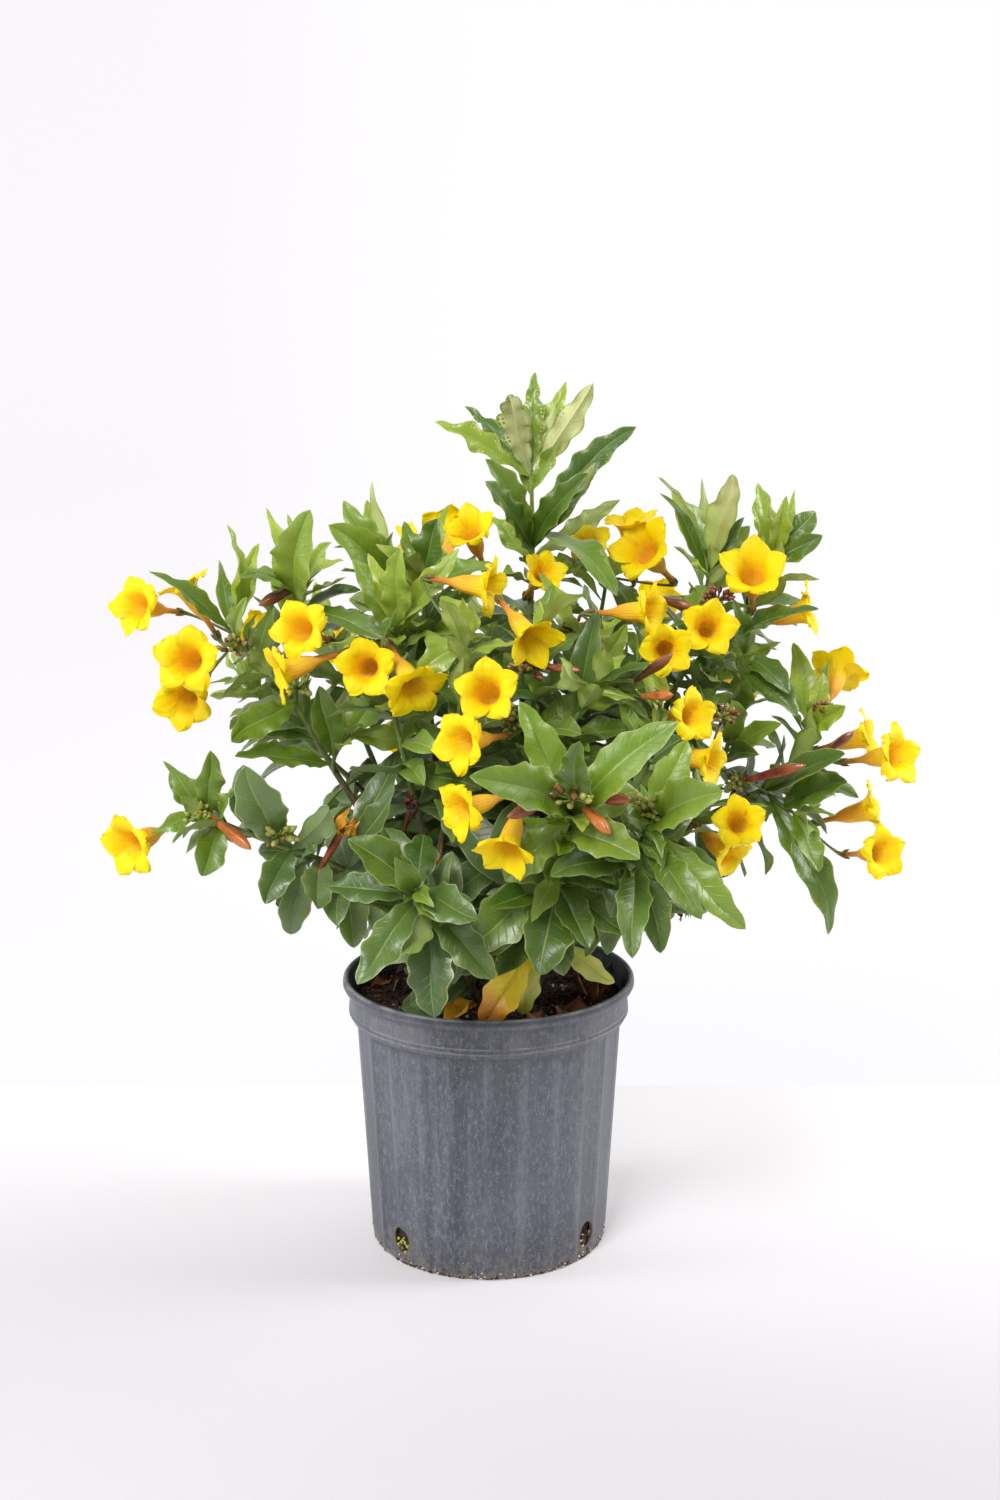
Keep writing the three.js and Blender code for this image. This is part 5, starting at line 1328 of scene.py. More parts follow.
def bud_finish():
    f = Finish("bud_scale", 0.26, specular=0.6)
    kind, along_bud = f.mark("kind"), f.mark("along")
    stain = f.noise(110, 3, 0.6)
    dark = f.ramp(stain, (0.3, rgb(70, 34, 28)), (0.7, rgb(116, 58, 42)))
    red = f.ramp(stain, (0.3, rgb(108, 36, 30)), (0.7, rgb(156, 78, 54)))
    orange = f.ramp(stain, (0.3, rgb(160, 76, 36)), (0.7, rgb(214, 132, 62)))
    green = f.ramp(stain, (0.3, rgb(124, 144, 50)), (0.7, rgb(188, 198, 104)))
    shade = f.mix(f.fade(kind, 0.0, 0.9), green, dark)
    shade = f.mix(f.fade(kind, 1.1, 1.9), shade, red)
    shade = f.mix(f.fade(kind, 2.1, 2.9), shade, orange)
    shade = f.mix(f.fade(kind, 3.1, 3.9), shade, rgb(238, 170, 34))
    shade = f.mix(f.fade(along_bud, 0.55, 1.0, 0.0, 0.4), shade, rgb(206, 128, 62))
    f.set("Base Color", shade)
    f.set("Normal", f.relief(f.noise(320), 0.0006, 0.5))
    return f.material


def pot_finish(settings):
    f = Finish("pot_plastic", 0.5, specular=0.45)
    place = f.place()
    z = place["Z"]
    base = f.ramp(f.noise(9, 4, 0.6, 0.35), (0.3, settings.pot_dark), (0.7, settings.pot_light))
    streaks = f.noise(80, 4, 0.6, 0.06)
    shade = f.mix(f.fade(streaks, 0.45, 0.75, 0.0, 0.5), base, rgb(122, 125, 133))
    # Painted highlights down the ridges of the flutes, patchy, below the band
    turn = f.times(f.math("ARCTAN2", place["Y"], place["X"]), float(FLUTES))
    uneven = f.fade(f.noise(14, 3, 0.6, 0.4), 0.42, 0.68, 0.0, 0.34)
    rib = f.times(f.fade(f.math("COSINE", turn), 0.3, 0.95), f.fall(z, 0.196, 0.202))
    rib = f.times(rib, uneven)
    shade = f.mix(rib, shade, rgb(138, 140, 148))
    # Painted shade low on the pot, darkest at its foot
    shade = f.mix(f.times(f.fall(z, 0.006, 0.07), 0.5), shade, rgb(58, 61, 72))
    scuffs = f.noise(340, 5, 0.8, 0.4)
    shade = f.mix(f.fade(scuffs, 0.48, 0.68, 0.0, 0.7), shade, rgb(132, 135, 143))
    shade = f.mix(f.fade(scuffs, 0.46, 0.3, 0.0, 0.5), shade, rgb(50, 53, 62))
    # Dust: coarse, middling and fine pale specks
    for count, size, share in ((230, 0.1, 1.0), (440, 0.17, 0.8), (760, 0.3, 0.5)):
        speck = f.fall(f.cells(count), size * 0.5, size)
        speck = f.times(speck, f.fade(f.noise(count * 0.37, 3, 0.7), 0.46, 0.66, 0.0, share))
        shade = f.mix(speck, shade, rgb(200, 202, 206))
    # Painted shade over the top and inner side of the rolled lip
    lip = f.times(f.fade(z, 0.2345, 0.237), 0.65)
    shade = f.mix(lip, shade, rgb(52, 56, 66))
    dust = f.times(f.fade(z, 0.2, 0.212), f.fade(f.noise(34, 4, 0.6), 0.4, 0.7, 0.0, 0.4))
    shade = f.mix(dust, shade, rgb(126, 124, 122))
    # Pale lines where the band stands proud, worn; the line along the top of the lip is a painted highlight
    for low, top in ((0.2090, 0.2104), (0.2136, 0.2146), (0.2396, 0.2406)):
        wear_and_highlight = f.times(f.fade(z, low - 0.0006, low), f.fall(z, top, top + 0.0006))
        wear_and_highlight = f.times(wear_and_highlight, f.fade(f.noise(50, 4, 0.7), 0.35, 0.65, 0.05, 0.45))
        shade = f.mix(wear_and_highlight, shade, rgb(170, 171, 175))
    # Soil dried on low down, and caked on at the foot
    low_soil = f.fall(z, 0.001, 0.009)
    low_soil = f.times(low_soil, f.fade(f.noise(230, 4, 0.75), 0.4, 0.52, 0.15, 0.9))
    soiled = f.fall(z, 0.0, 0.045)
    soiled = f.times(soiled, f.fade(f.noise(150, 5, 0.75), 0.48, 0.62, 0.0, 0.7))
    shade = f.mix(f.math("MAXIMUM", soiled, low_soil), shade, rgb(126, 116, 104))
    for degrees in DRAINS:
        shade = f.mix(drain_stain(f, degrees), shade, rgb(108, 90, 74))
    f.set("Base Color", shade)
    f.set("Roughness", f.fade(scuffs, 0.3, 0.7, 0.34, 0.6))
    height = f.plus(f.times(scuffs, 0.4), f.times(f.noise(900, 2), 0.3))
    f.set("Normal", f.relief(height, 0.0006, 0.45))
    return f.material


def drain_stain(f, degrees):
    """How much soil has stained the plastic round one drain hole."""
    a = math.radians(degrees - 90)
    away = f.node("VectorMath")
    away.operation = "DISTANCE"
    f.plug(away, 0, f.where)
    f.plug(away, 1, [106 * MM * math.cos(a), 106 * MM * math.sin(a), (DRAIN_HEIGHT - 1) * MM])
    near = f.fall(away.outputs["Value"], 0.0095, 0.016)
    return f.times(near, f.fade(f.noise(210, 3, 0.7), 0.3, 0.6, 0.2, 0.9))


def soil_finish():
    f = Finish("potting_mix", 0.9, specular=0.25)
    grain = f.noise(260, 5, 0.7)
    shade = f.ramp(
        grain, (0.3, rgb(30, 22, 18)), (0.5, rgb(60, 45, 37)), (0.68, rgb(100, 80, 66)),
        (0.8, rgb(150, 132, 114)))
    grit = f.fall(f.cells(420), 0.05, 0.16)
    grit = f.times(grit, f.fade(f.noise(150, 2), 0.55, 0.62, 0.0, 0.9))
    f.set("Base Color", f.mix(grit, shade, rgb(206, 192, 170)))
    f.set("Normal", f.relief(f.plus(grain, f.cells(330)), 0.003, 0.8))
    return f.material


def litter_finish():
    """By kind: 0 dark bark, 1 rusty bark, 2 grit, 3 brown leaf, 4 grey leaf, 5 yellow leaf, 6 sprout."""
    f = Finish("litter", 0.75, specular=0.3)
    kind = f.mark("kind")
    grain = f.noise(190, 4, 0.65, 0.5)
    pairs = [((46, 33, 27), (92, 70, 57)), ((84, 56, 42), (138, 100, 78)), ((190, 180, 162), (232, 226, 212)),
             ((84, 50, 34), (164, 106, 74)), ((62, 54, 50), (118, 106, 98)), ((214, 140, 20), (226, 190, 52)),
             ((150, 168, 60), (206, 214, 120))]
    for number, (dark, pale) in enumerate(pairs):
        other = f.ramp(grain, (0.3, rgb(*dark)), (0.7, rgb(*pale)))
        shade = f.mix(f.fade(kind, number - 0.9, number - 0.1), shade, other) if number else other
    f.set("Base Color", shade)
    f.set("Normal", f.relief(grain, 0.0012, 0.7))
    return f.material


# Pot
POT_SIDES = 432
BODY_RINGS = 18
DRAIN_SIDES = 36


def pot_profile():
    """Outside from the bottom up, the lip, then inside, as radius, height and depth of the flutes there."""
    foot, top = BODY_FOOT_RADIUS, BODY_TOP_RADIUS
    outer = [(60, 0.0, 0), (foot - 4.2, 0.0, 0), (foot - 2.0, 0.5, 0), (foot - 0.8, 1.6, 0.3),
             (foot, 3.4, 0.8)]
    low, high = 5.0, BODY_TOP - 5
    for i in range(BODY_RINGS + 1):
        t = i / BODY_RINGS
        radius = foot + (top - foot) * (low + (high - low) * t) / BODY_TOP
        outer.append((radius, low + (high - low) * t, 1.0))
    outer += [(top - 0.1, BODY_TOP - 2.5, 0.7), (top + 0.3, BODY_TOP - 0.8, 0.25),
              (top + 1.4, BODY_TOP + 0.6, 0), (top + 3.4, BODY_TOP + 1.8, 0),
              (BAND_RADIUS - 1.4, BODY_TOP + 3.2, 0), (BAND_RADIUS - 0.5, BODY_TOP + 5.2, 0)]
    band = [(208.9, -0.4), (209.6, 0.45), (210.6, 0.5), (211.4, -0.3), (213.2, -0.25), (213.9, 0.25),
            (214.8, 0.28), (215.6, -0.2), (219, -0.1), (225, 0.0), (228.6, 0.1), (230.3, 0.3), (231.2, 1.2)]
    outer += [(BAND_RADIUS + rise, z, 0) for z, rise in band]
    lip = [(2.2, 231.9), (0.7, 232.7), (0, 234.2), (0.05, 237.2), (0.5, 239.2), (1.5, 240.5),
           (2.8, POT_HEIGHT), (4.0, 240.6), (4.8, 239.4), (5.3, 236)]
    outer += [(RIM_RADIUS - inset, z, 0) for inset, z in lip]
    band, top, foot = BAND_RADIUS - WALL, top - WALL, foot - WALL
    inner = [(band, 231, 0), (band - 0.3, 222, 0), (band - 0.6, 209, 0), (top, BODY_TOP, 0),
             (top - 1.8, 170, 0.3), (109, 118, 0.3), (foot + 1.5, 40, 0.3), (foot, FLOOR_THICKNESS + 3, 0),
             (foot - 3, FLOOR_THICKNESS, 0), (60, FLOOR_THICKNESS, 0)]
    return outer + inner


def flute_line(angles):
    """Shallow flutes: broad flats parted by narrow soft ridges, a little uneven from one to the next."""
    phase = angles * FLUTES / 2
    ridge = np.abs(np.cos(phase)) ** 14
    valley = 0.5 - 0.5 * np.cos(2 * phase)
    uneven = 1 + 0.25 * np.sin(3 * angles + 1) + 0.15 * np.sin(7 * angles)
    return uneven * (0.35 * valley + 0.85 * (1 - ridge))


def round_ring(radius, angles, height):
    return np.stack([radius * np.cos(angles), radius * np.sin(angles), height + 0 * angles], axis=1)


def make_pot(depth):
    shell = Shell()
    angles = 2 * math.pi * np.arange(POT_SIDES) / POT_SIDES
    dents = flute_line(angles)
    rings = []
    for radius, z, share in pot_profile():
        r = radius - depth * share * dents + 0.25 * np.sin(2 * angles + 0.7) * (z / POT_HEIGHT)
        rings.append(round_ring(r, angles, z))
    shell.loft(rings)
    return shell


def drain_cutter(degrees):
    """An oval plug across the wall, to be cut out of it."""
    a = math.radians(degrees - 90)
    way = np.array([math.cos(a), math.sin(a), 0])
    flat = np.array([-way[1], way[0], 0])
    shell = Shell()
    b = 2 * math.pi * np.arange(DRAIN_SIDES) / DRAIN_SIDES
    oval = np.cos(b)[:, None] * flat * DRAIN_WIDTH / 2 + np.sin(b)[:, None] * np.array([0, 0, DRAIN_TALL / 2])
    centre = np.array([0, 0, DRAIN_HEIGHT])
    shell.loft([centre + way * radius + oval * wider for radius, wider in ((90, 1), (101, 1), (125, 1.12))])
    return new_object("drain_cutter", shell.mesh("drain_cutter"))


def cut_drains(pot):
    """Cuts the four drain holes through the pot's wall, and keeps the result as its mesh."""
    cutters = [drain_cutter(degrees) for degrees in DRAINS]
    for cutter in cutters:
        modifier = pot.modifiers.new("drain", "BOOLEAN")
        modifier.operation = "DIFFERENCE"
        modifier.solver = "EXACT"
        modifier.object = cutter
    bpy.context.view_layer.update()
    cut = bpy.data.meshes.new_from_object(pot.evaluated_get(bpy.context.evaluated_depsgraph_get()))
    pot.modifiers.clear()
    pot.data = cut
    cut.name = "pot_fine"
    cut.set_sharp_from_angle(angle=math.radians(40))
    for cutter in cutters:
        bpy.data.objects.remove(cutter)


# Potting mix
SOIL_EDGE = 116
SOIL_SIDES = 180
HOLLOW = (62, -38, -7)
FOOT_CRUMBS = 420
DRAIN_BITS = 24


def lumps(x, y, scale, seed):
    return noise.noise((x / scale + seed, y / scale - seed, seed * 0.37))


def soil_height(x, y):
    """Height of the potting mix: a slight mound, with a hollow and crumbs."""
    r = math.hypot(x, y)
    mound = SOIL_MOUND * max(0.0, 1 - (r / 95) ** 2) + 1.2
    rough = 3.0 * lumps(x, y, 26, 3) + 2.0 * lumps(x, y, 9, 7) + 1.3 * lumps(x, y, 3.6, 12)
    hollow = HOLLOW[2] * math.exp(-((x - HOLLOW[0]) ** 2 + (y - HOLLOW[1]) ** 2) / 420)
    edge = min(1.0, (SOIL_EDGE - r) / 10)
    return SOIL_TOP + mound + (rough + hollow) * max(0.15, edge)


def make_soil():
    shell = Shell()
    angles = 2 * math.pi * np.arange(SOIL_SIDES) / SOIL_SIDES
    foot, top = BODY_FOOT_RADIUS - WALL, BODY_TOP_RADIUS - WALL
    side = [(foot - 4, FLOOR_THICKNESS + 0.4), (foot - 0.9, FLOOR_THICKNESS + 4), (foot - 0.3, 40),
            (108.4, 118), (top - 0.9, BODY_TOP - 1)]
    rings = []
    for radius, z in side:
        crumb = [0.9 * (lumps(300 * math.cos(a), 300 * math.sin(a) + 5 * z, 14, 5) - 0.4) for a in angles]
        rings.append(round_ring(radius + np.array(crumb), angles, z))
    for radius in np.concatenate([np.linspace(SOIL_EDGE, 8, 52), [4, 1.2]]):
        ring = round_ring(radius, angles, 0)
        ring[:, 2] = [soil_height(x, y) for x, y, _ in ring]
        rings.append(ring)
    shell.loft(rings)
    return shell


CHIP = np.array([[x, y, z] for z in (-1, 1) for y in (-1, 1) for x in (-1, 1)], float)
CHIP_FACES = [[0, 2, 3, 1], [4, 5, 7, 6], [0, 1, 5, 4], [2, 6, 7, 3], [0, 4, 6, 2], [1, 3, 7, 5]]


def turned(points, draw):
    """The points turned by a seeded heading, pitch and roll."""
    a, b, c = 2 * math.pi * draw(), 1.1 * (draw() - 0.5), 2 * math.pi * draw()
    heading = np.array([[math.cos(a), -math.sin(a), 0], [math.sin(a), math.cos(a), 0], [0, 0, 1]])
    pitch = np.array([[1, 0, 0], [0, math.cos(b), -math.sin(b)], [0, math.sin(b), math.cos(b)]])
    roll = np.array([[math.cos(c), 0, math.sin(c)], [0, 1, 0], [-math.sin(c), 0, math.cos(c)]])
    return points @ (heading @ pitch @ (roll if draw() < 0.3 else np.eye(3))).T


def add_chip(shell, place, size, kind, draw):
    """A splinter of bark or a crumb of grit: a box with each corner pulled about."""
    pull = np.array([[draw() for _ in range(3)] for _ in range(8)]) * 0.7 + 0.45
    shell.add(turned(CHIP * pull * np.asarray(size) / 2, draw) + place, [CHIP_FACES], kind=kind)


def make_litter(chips, grit):
    """Bark and grit strewn evenly over the potting mix, and crumbs and bits round the pot's foot and in its
    drain holes.
    """
    shell = Shell("kind")
    draw = draws(LITTER_SEED)
    for number in range(chips + grit):
        angle, share = 2 * math.pi * draw(), math.sqrt(draw())
        r = (SOIL_EDGE - 4) * share
        x, y = r * math.cos(angle), r * math.sin(angle)
        place = np.array([x, y, soil_height(x, y) + 0.6])
        if number < chips:
            long = 2.5 + 9 * draw() ** 2.5
            size = (long, 1.2 + 0.35 * long * draw(), 0.8 + 1.2 * draw())
            add_chip(shell, place, size, 0.0 if draw() < 0.65 else 1.0, draw)
        else:
            add_chip(shell, place, [1.3 + 1.6 * draw()] * 3, 2.0, draw)
    for degrees, kind in zip(DRAINS, (6.0, 2.0, 1.0, 1.0)):
        add_drain_bits(shell, degrees, kind, draw)
    # Crumbs of soil stuck round the foot, thickest at the front
    for _ in range(FOOT_CRUMBS):
        angle = 2 * math.pi * draw() if draw() < 0.4 else -math.pi / 2 + 2.2 * (draw() - 0.42)
        z = 0.6 + 6.5 * draw() ** 2.5
        radius = BODY_FOOT_RADIUS + np.interp(z, [0, 0.5, 1.6, 3.4, 10], [-4.2, -2.0, -0.9, -0.6, -0.5])
        size = [0.7 + 1.5 * draw() ** 2 for _ in range(3)]
        place = np.array([radius * math.cos(angle), radius * math.sin(angle), z])
        grain = draw()
        add_chip(shell, place, size, 0.0 if grain < 0.45 else 1.0 if grain < 0.75 else 2.0, draw)
    return shell


def add_drain_bits(shell, degrees, kind, draw):
    """Roots' ends and bark that show in a drain hole."""
    a = math.radians(degrees - 90)
    for _ in range(DRAIN_BITS):
        aside = (draw() - 0.5) * DRAIN_WIDTH * 0.75
        z = DRAIN_HEIGHT - DRAIN_TALL * (0.5 * draw() - 0.02)
        radius = 101.0 + 3.6 * draw()
        x, y = radius * math.cos(a) - aside * math.sin(a), radius * math.sin(a) + aside * math.cos(a)
        place = np.array([x, y, z])
        own = kind if draw() < 0.5 else 0.0 if draw() < 0.6 else 1.0
        add_chip(shell, place, [1.5 + 1.9 * draw() for _ in range(3)], own, draw)


def litter_leaf(foot, tip, width, seed, fold, kind):
    """A dried leaf: more folded and more waved than a live one."""
    leaf = Leaf("", foot, tip, width, (0, 0, 1), seed)
    leaf.fold = fold
    leaf.wave *= 1.4
    leaf.ruffle = 1.6
    leaf.age = 0.6
    leaf.kind = kind
    return leaf


def on_soil(point):
    """The point, lifted where the potting mix stands higher."""
    x, y, z = point
    return (x, y, max(z, soil_height(x, y) + 2.5))


STEM_STEP = 7
KNOT_SPACING = 31


def stem_rods(shell, cane):
    """The branches of a cane, tapered, with a slight knot at every whorl."""
    for branch in CANES[cane]:
        line, run = respaced(eased(branch), STEM_STEP)
        radii = STEM_TIP_RADIUS + STEM_TAPER * (run[-1] - run)
        knots = 1 + 0.16 * np.exp(-((run % KNOT_SPACING - 15) / 3.2) ** 2)
        age = np.clip((run[-1] - run - 40) / 200, 0, 1)[:, None]
        add_rod(shell, line, radii * knots, 10, age=age, tone=0.0)


def stalk_rods(shell, row, draw):
    """A flower stalk with its calyx of five pointed leaves."""
    bloom = Bloom(row)
    points = [bloom.stalk(t) for t in np.linspace(0, 1, 9)]
    radii = [1.3, 1.2, 1.15, 1.1, 1.15, 1.25, 1.5, 2.0, 2.3]
    add_rod(shell, points, radii, 8, age=0.0, tone=0.15)
    for i in range(5):
        angle = math.radians(72 * i + 20 * draw())
        out = plus(times(bloom.side, math.cos(angle)), times(bloom.other, math.sin(angle)))
        foot = plus(bloom.base, plus(times(out, 1.5), times(bloom.axis, -1.5)))
        long = 8 + 3 * draw()
        tip = plus(foot, plus(times(bloom.axis, long), times(out, 1.4 + 1.6 * draw())))
        add_spindle(shell, foot, tip, 1.5, 5, age=0.0, tone=0.1 + 0.5 * draw())


# Profiles: share of the length, and of the radius there
SPINDLE = [(0.0, 0.3), (0.12, 0.72), (0.35, 1.0), (0.6, 0.86), (0.82, 0.5), (0.95, 0.22), (1.0, 0.06)]


def add_spindle(shell, foot, tip, radius, sides, lobes=0.0, turn=0.0, profile=SPINDLE, **marks):
    """A straight body of a given profile, furled where it has lobes and a turn."""
    points = [between(foot, tip, t) for t, _ in profile]
    rings = rod_rings(points, [radius * r for _, r in profile], sides, lobes=lobes, lobe_turn=turn)
    shell.loft(rings, along=[[t] for t, _ in profile], **marks)


BUD_PROFILE = [(0.0, 0.3), (0.08, 0.5), (0.2, 0.62), (0.38, 0.78), (0.55, 0.96), (0.68, 1.0), (0.8, 0.86),
               (0.9, 0.58), (0.96, 0.32), (1.0, 0.1)]
KNOT_BUDS = 30


def add_stalk(shell, cane, tail, radii, kind):
    """A curved stalk from the cane."""
    root = nearest_on_cane(tail, cane)
    knee = plus(between(root, tail, 0.6), (0, 0, 3))
    line = [bend(root, knee, tail, t) for t in np.linspace(0, 1, len(radii))]
    add_rod(shell, line, radii, 7, kind=kind, along=0.0)


def add_bud(shell, row, kind):
    """A closed flower bud: furled lobes that wind about it, on a stalk from its cane."""
    cane, tail, tip, radius = row
    add_stalk(shell, cane, tail, [1.1, 1.0, 1.0, 1.1, 1.3, 1.6], 0.3)
    add_spindle(shell, tail, tip, radius * 1.06, 20, 0.09, 0.34, BUD_PROFILE, kind=kind)


def add_knot(shell, cane, centre, size, kind, draw):
    """A close cluster of small buds, each in its bract, on a short stalk."""
    root = nearest_on_cane(centre, cane)
    add_rod(shell, [root, between(root, centre, 0.5), centre], [1.3, 1.3, 1.6], 6, kind=0.6, along=0.0)
    for _ in range(KNOT_BUDS):
        a, h = 2 * math.pi * draw(), draw() * 1.35 - 0.35
        flat = math.sqrt(max(0.05, 1 - h * h))
        out = (math.cos(a) * flat, math.sin(a) * flat, h)
        foot = plus(centre, times(out, 1.5 * size))
        reach = (3.5 + 4.5 * draw()) * size
        middle = plus(foot, times(out, reach))
        tip = plus(middle, plus(times(out, (3.6 + 2.6 * draw()) * size), (0, 0, (draw() - 0.3) * 2 * size)))
        stalk = [foot, between(foot, middle, 0.5), middle]
        add_rod(shell, stalk, [0.8, 0.7, 0.8], 5, kind=0.15 + 0.5 * kind, along=0.0)
        own = kind if draw() < 0.8 else kind + 0.7
        add_spindle(shell, middle, tip, (1.3 + 0.9 * draw()) * size, 7, kind=own)
        for side in (-1, 1):
            aside = (side * 1.3 * size, 0.6 * side * size, 0.8 * size)
            bract = plus(middle, plus(times(out, 2.4 * size), aside))
            add_spindle(shell, minus(middle, times(out, 1.2)), bract, 0.7 * size, 5, kind=kind + 0.25)


def add_spent(shell, row, draw):
    """A spent bloom: a shrivelled tube with its lobes hanging together in a crumpled tuft."""
    cane, tail, tip, radius, kind = row
    add_stalk(shell, cane, tail, [1.2, 1.1, 1.1, 1.2, 1.4, 1.7], 0.7)
    waist = between(tail, tip, 0.62)
    end, dull = between(tail, tip, 0.75), min(kind, 2.4)
    add_spindle(shell, tail, end, radius * 0.8, 14, 0.16, 0.5, BUD_PROFILE, kind=dull)
    way = unit(minus(tip, tail))
    side = square_to((0.3, -0.8, 0.5), way)
    other = cross(way, side)
    for number in range(5):
        a = LOBE_TURN * number + draw()
        out = plus(times(side, math.cos(a)), times(other, math.sin(a)))
        long = length(minus(tip, tail)) * (0.3 + 0.22 * draw())
        foot = plus(waist, times(out, radius * 0.35))
        hanging = plus(times(out, radius * (0.3 + 1.2 * draw())), (0, 0, -2 * draw()))
        end = plus(foot, plus(times(way, long), hanging))
        width = radius * (1.7 + 0.8 * draw())
        lobe = Leaf(cane, foot, end, width, out, SPENT_SEED + number + int(100 * radius))
        lobe.fold, lobe.ruffle, lobe.hook, lobe.kind = 0.9, 2.2, 0.5, kind + 0.9 if kind > 2 else kind
        add_blade(shell, lobe, SMALL_BLADE)


# What a user may set
def colour_property(name, description, default):
    return FloatVectorProperty(
        name=name, description=description, default=default, subtype="COLOR", size=3, min=0.0, max=1.0)


def number_property(name, description, default, **kind):
    return FloatProperty(name=name, description=description, default=default, **kind)


class PotSettings(bpy.types.PropertyGroup):
    flute_depth: number_property("Flute depth", "Depth of the flutes, in millimetres", 1.3, min=0, max=3)
    pot_dark: colour_property("Plastic, dark", "Darker shade of the charcoal plastic", rgb(64, 67, 77))
    pot_light: colour_property("Plastic, light", "Lighter shade of the charcoal plastic", rgb(98, 101, 110))
    chips: IntProperty(name="Bark chips", description="Chips strewn over the potting mix", default=900, min=0)
    grit: IntProperty(name="Grit", description="Pale grains strewn over the potting mix", default=110, min=0)


class LeafSettings(bpy.types.PropertyGroup):
    fresh: colour_property("Newest leaves", "Colour of the leaves at the tips", rgb(166, 184, 58))
    grown: colour_property("Grown leaves", "Colour of full-grown leaves", rgb(116, 146, 32))
    old: colour_property("Old leaves", "Colour of leaves deep in the crown", rgb(72, 102, 26))
    lowest: colour_property("Lowest leaves", "Colour of the dull leaves low on the plant", rgb(104, 126, 76))


class BloomSettings(bpy.types.PropertyGroup):
    petal: colour_property("Petals", "Colour of the spread lobes", rgb(255, 214, 8))
    petal_tip: colour_property("Petal rims", "Colour towards the rims of the lobes", rgb(255, 232, 8))
    # Paler than the throat's own colour: painted light deep in the tube
    throat: colour_property("Throat", "Colour deep in the throat", rgb(255, 218, 96))


class StageSettings(bpy.types.PropertyGroup):
    lens: number_property("Lens", "Focal length on a 36 mm high frame", 46.58, min=10, unit="CAMERA")
    pitch: number_property("Pitch", "How far the camera looks down", math.radians(12), subtype="ANGLE")
    front_light: number_property("Front light", "Power of the large front light", 66.0, min=0, unit="POWER")
    side_light: number_property("Side lights", "Power of the weaker side light", 20.0, min=0, unit="POWER")
    sky: number_property("Surround", "Strength of the white surround", 0.34, min=0)


SETTINGS = {"allamanda_pot": PotSettings, "allamanda_leaf": LeafSettings, "allamanda_bloom": BloomSettings,
            "allamanda_stage": StageSettings}


class ALLAMANDA_OT_pot(bpy.types.Operator):
    """Makes the ribbed nursery pot with its rolled lip and drain holes"""
    bl_idname = "allamanda.pot"
    bl_label = "Pot"

    def execute(self, context):
        settings = context.scene.allamanda_pot
        pot = make_pot(settings.flute_depth).piece("pot_fine", pot_finish(settings), "pot", "pot", sharp=50)
        cut_drains(pot)
        return {"FINISHED"}


class ALLAMANDA_OT_soil(bpy.types.Operator):
    """Makes the potting mix and what is strewn over it"""
    bl_idname = "allamanda.soil"
    bl_label = "Potting mix"

    def execute(self, context):
        settings = context.scene.allamanda_pot
        make_soil().piece("soil_fine", soil_finish(), "potting_mix", "soil", sharp=60)
        litter = litter_finish()
        make_litter(settings.chips, settings.grit).piece("bark_and_grit", litter, "potting_mix", sharp=30)
        return {"FINISHED"}


class ALLAMANDA_OT_fallen(bpy.types.Operator):
    """Makes the dead and yellowed leaves that lie on the potting mix"""
    bl_idname = "allamanda.fallen"
    bl_label = "Fallen leaves"

    def execute(self, context):
        finish = litter_finish()
        for number, (node, foot, tip, width) in enumerate(FALLEN):
            shell = self.dried(foot, tip, width, FALLEN_SEED + number, 0.55, 3)
            shell.piece(node + "_fine", finish, "dead_leaf", node, sharp=50)
        for number, (foot, tip, width, fold, kind) in enumerate(DEAD_LEAVES):
            shell = self.dried(foot, tip, width, DEAD_SEED + number, fold, kind)
            shell.piece(f"dead_leaf_{number + 1}", finish, "dead_leaf", sharp=50)
        return {"FINISHED"}

    @staticmethod
    def dried(foot, tip, width, seed, fold, kind):
        shell = Shell(*BLADE_MARKS, "kind")
        add_blade(shell, litter_leaf(on_soil(foot), on_soil(tip), width, seed, fold, kind), thickness=0.7)
        return shell


class ALLAMANDA_OT_stems(bpy.types.Operator):
    """Makes every cane's stem, flower stalks and calyxes"""
    bl_idname = "allamanda.stems"
    bl_label = "Stems"

    def execute(self, context):
        finish = stem_finish()
        for number, cane in enumerate(CANES):
            shell, draw = Shell("age", "tone"), draws(STALK_SEED + number)
            stem_rods(shell, cane)
            for row in BLOOMS:
                if row[1] == cane:
                    stalk_rods(shell, row, draw)
            shell.piece("stem_" + cane, finish, "foliage", "cane_" + cane)
        return {"FINISHED"}


class ALLAMANDA_OT_leaves(bpy.types.Operator):
    """Makes every leaf, grown by the same rule as the solids, with the small ones between"""
    bl_idname = "allamanda.leaves"
    bl_label = "Leaves"

    def execute(self, context):
        finish = leaf_finish(context.scene.allamanda_leaf)
        shells = {cane: Shell(*BLADE_MARKS) for cane in CANES}
        for leaf, fineness in grow():
            add_blade(shells[leaf.cane], leaf, fineness)
        for cane, shell in shells.items():
            shell.piece("leaves_" + cane, finish, "foliage", "cane_" + cane, sharp=60)
        return {"FINISHED"}


class ALLAMANDA_OT_buds(bpy.types.Operator):
    """Makes the closed flower buds and the clusters of green ones"""
    bl_idname = "allamanda.buds"
    bl_label = "Buds"

    def execute(self, context):
        finish = bud_finish()
        shells = defaultdict(lambda: Shell("kind", "along"))
        draw = draws(BUD_SEED)
        for row, kind in zip(BUDS, BUD_KINDS):
            add_bud(shells[row[0]], row, kind)
        for row in KNOTS:
            add_knot(shells[row[0]], *row, draw)
        for row in SPENT:
            add_spent(shells[row[0]], row, draw)
        for cane, shell in shells.items():
            shell.piece("buds_" + cane, finish, "foliage", "cane_" + cane)
        return {"FINISHED"}


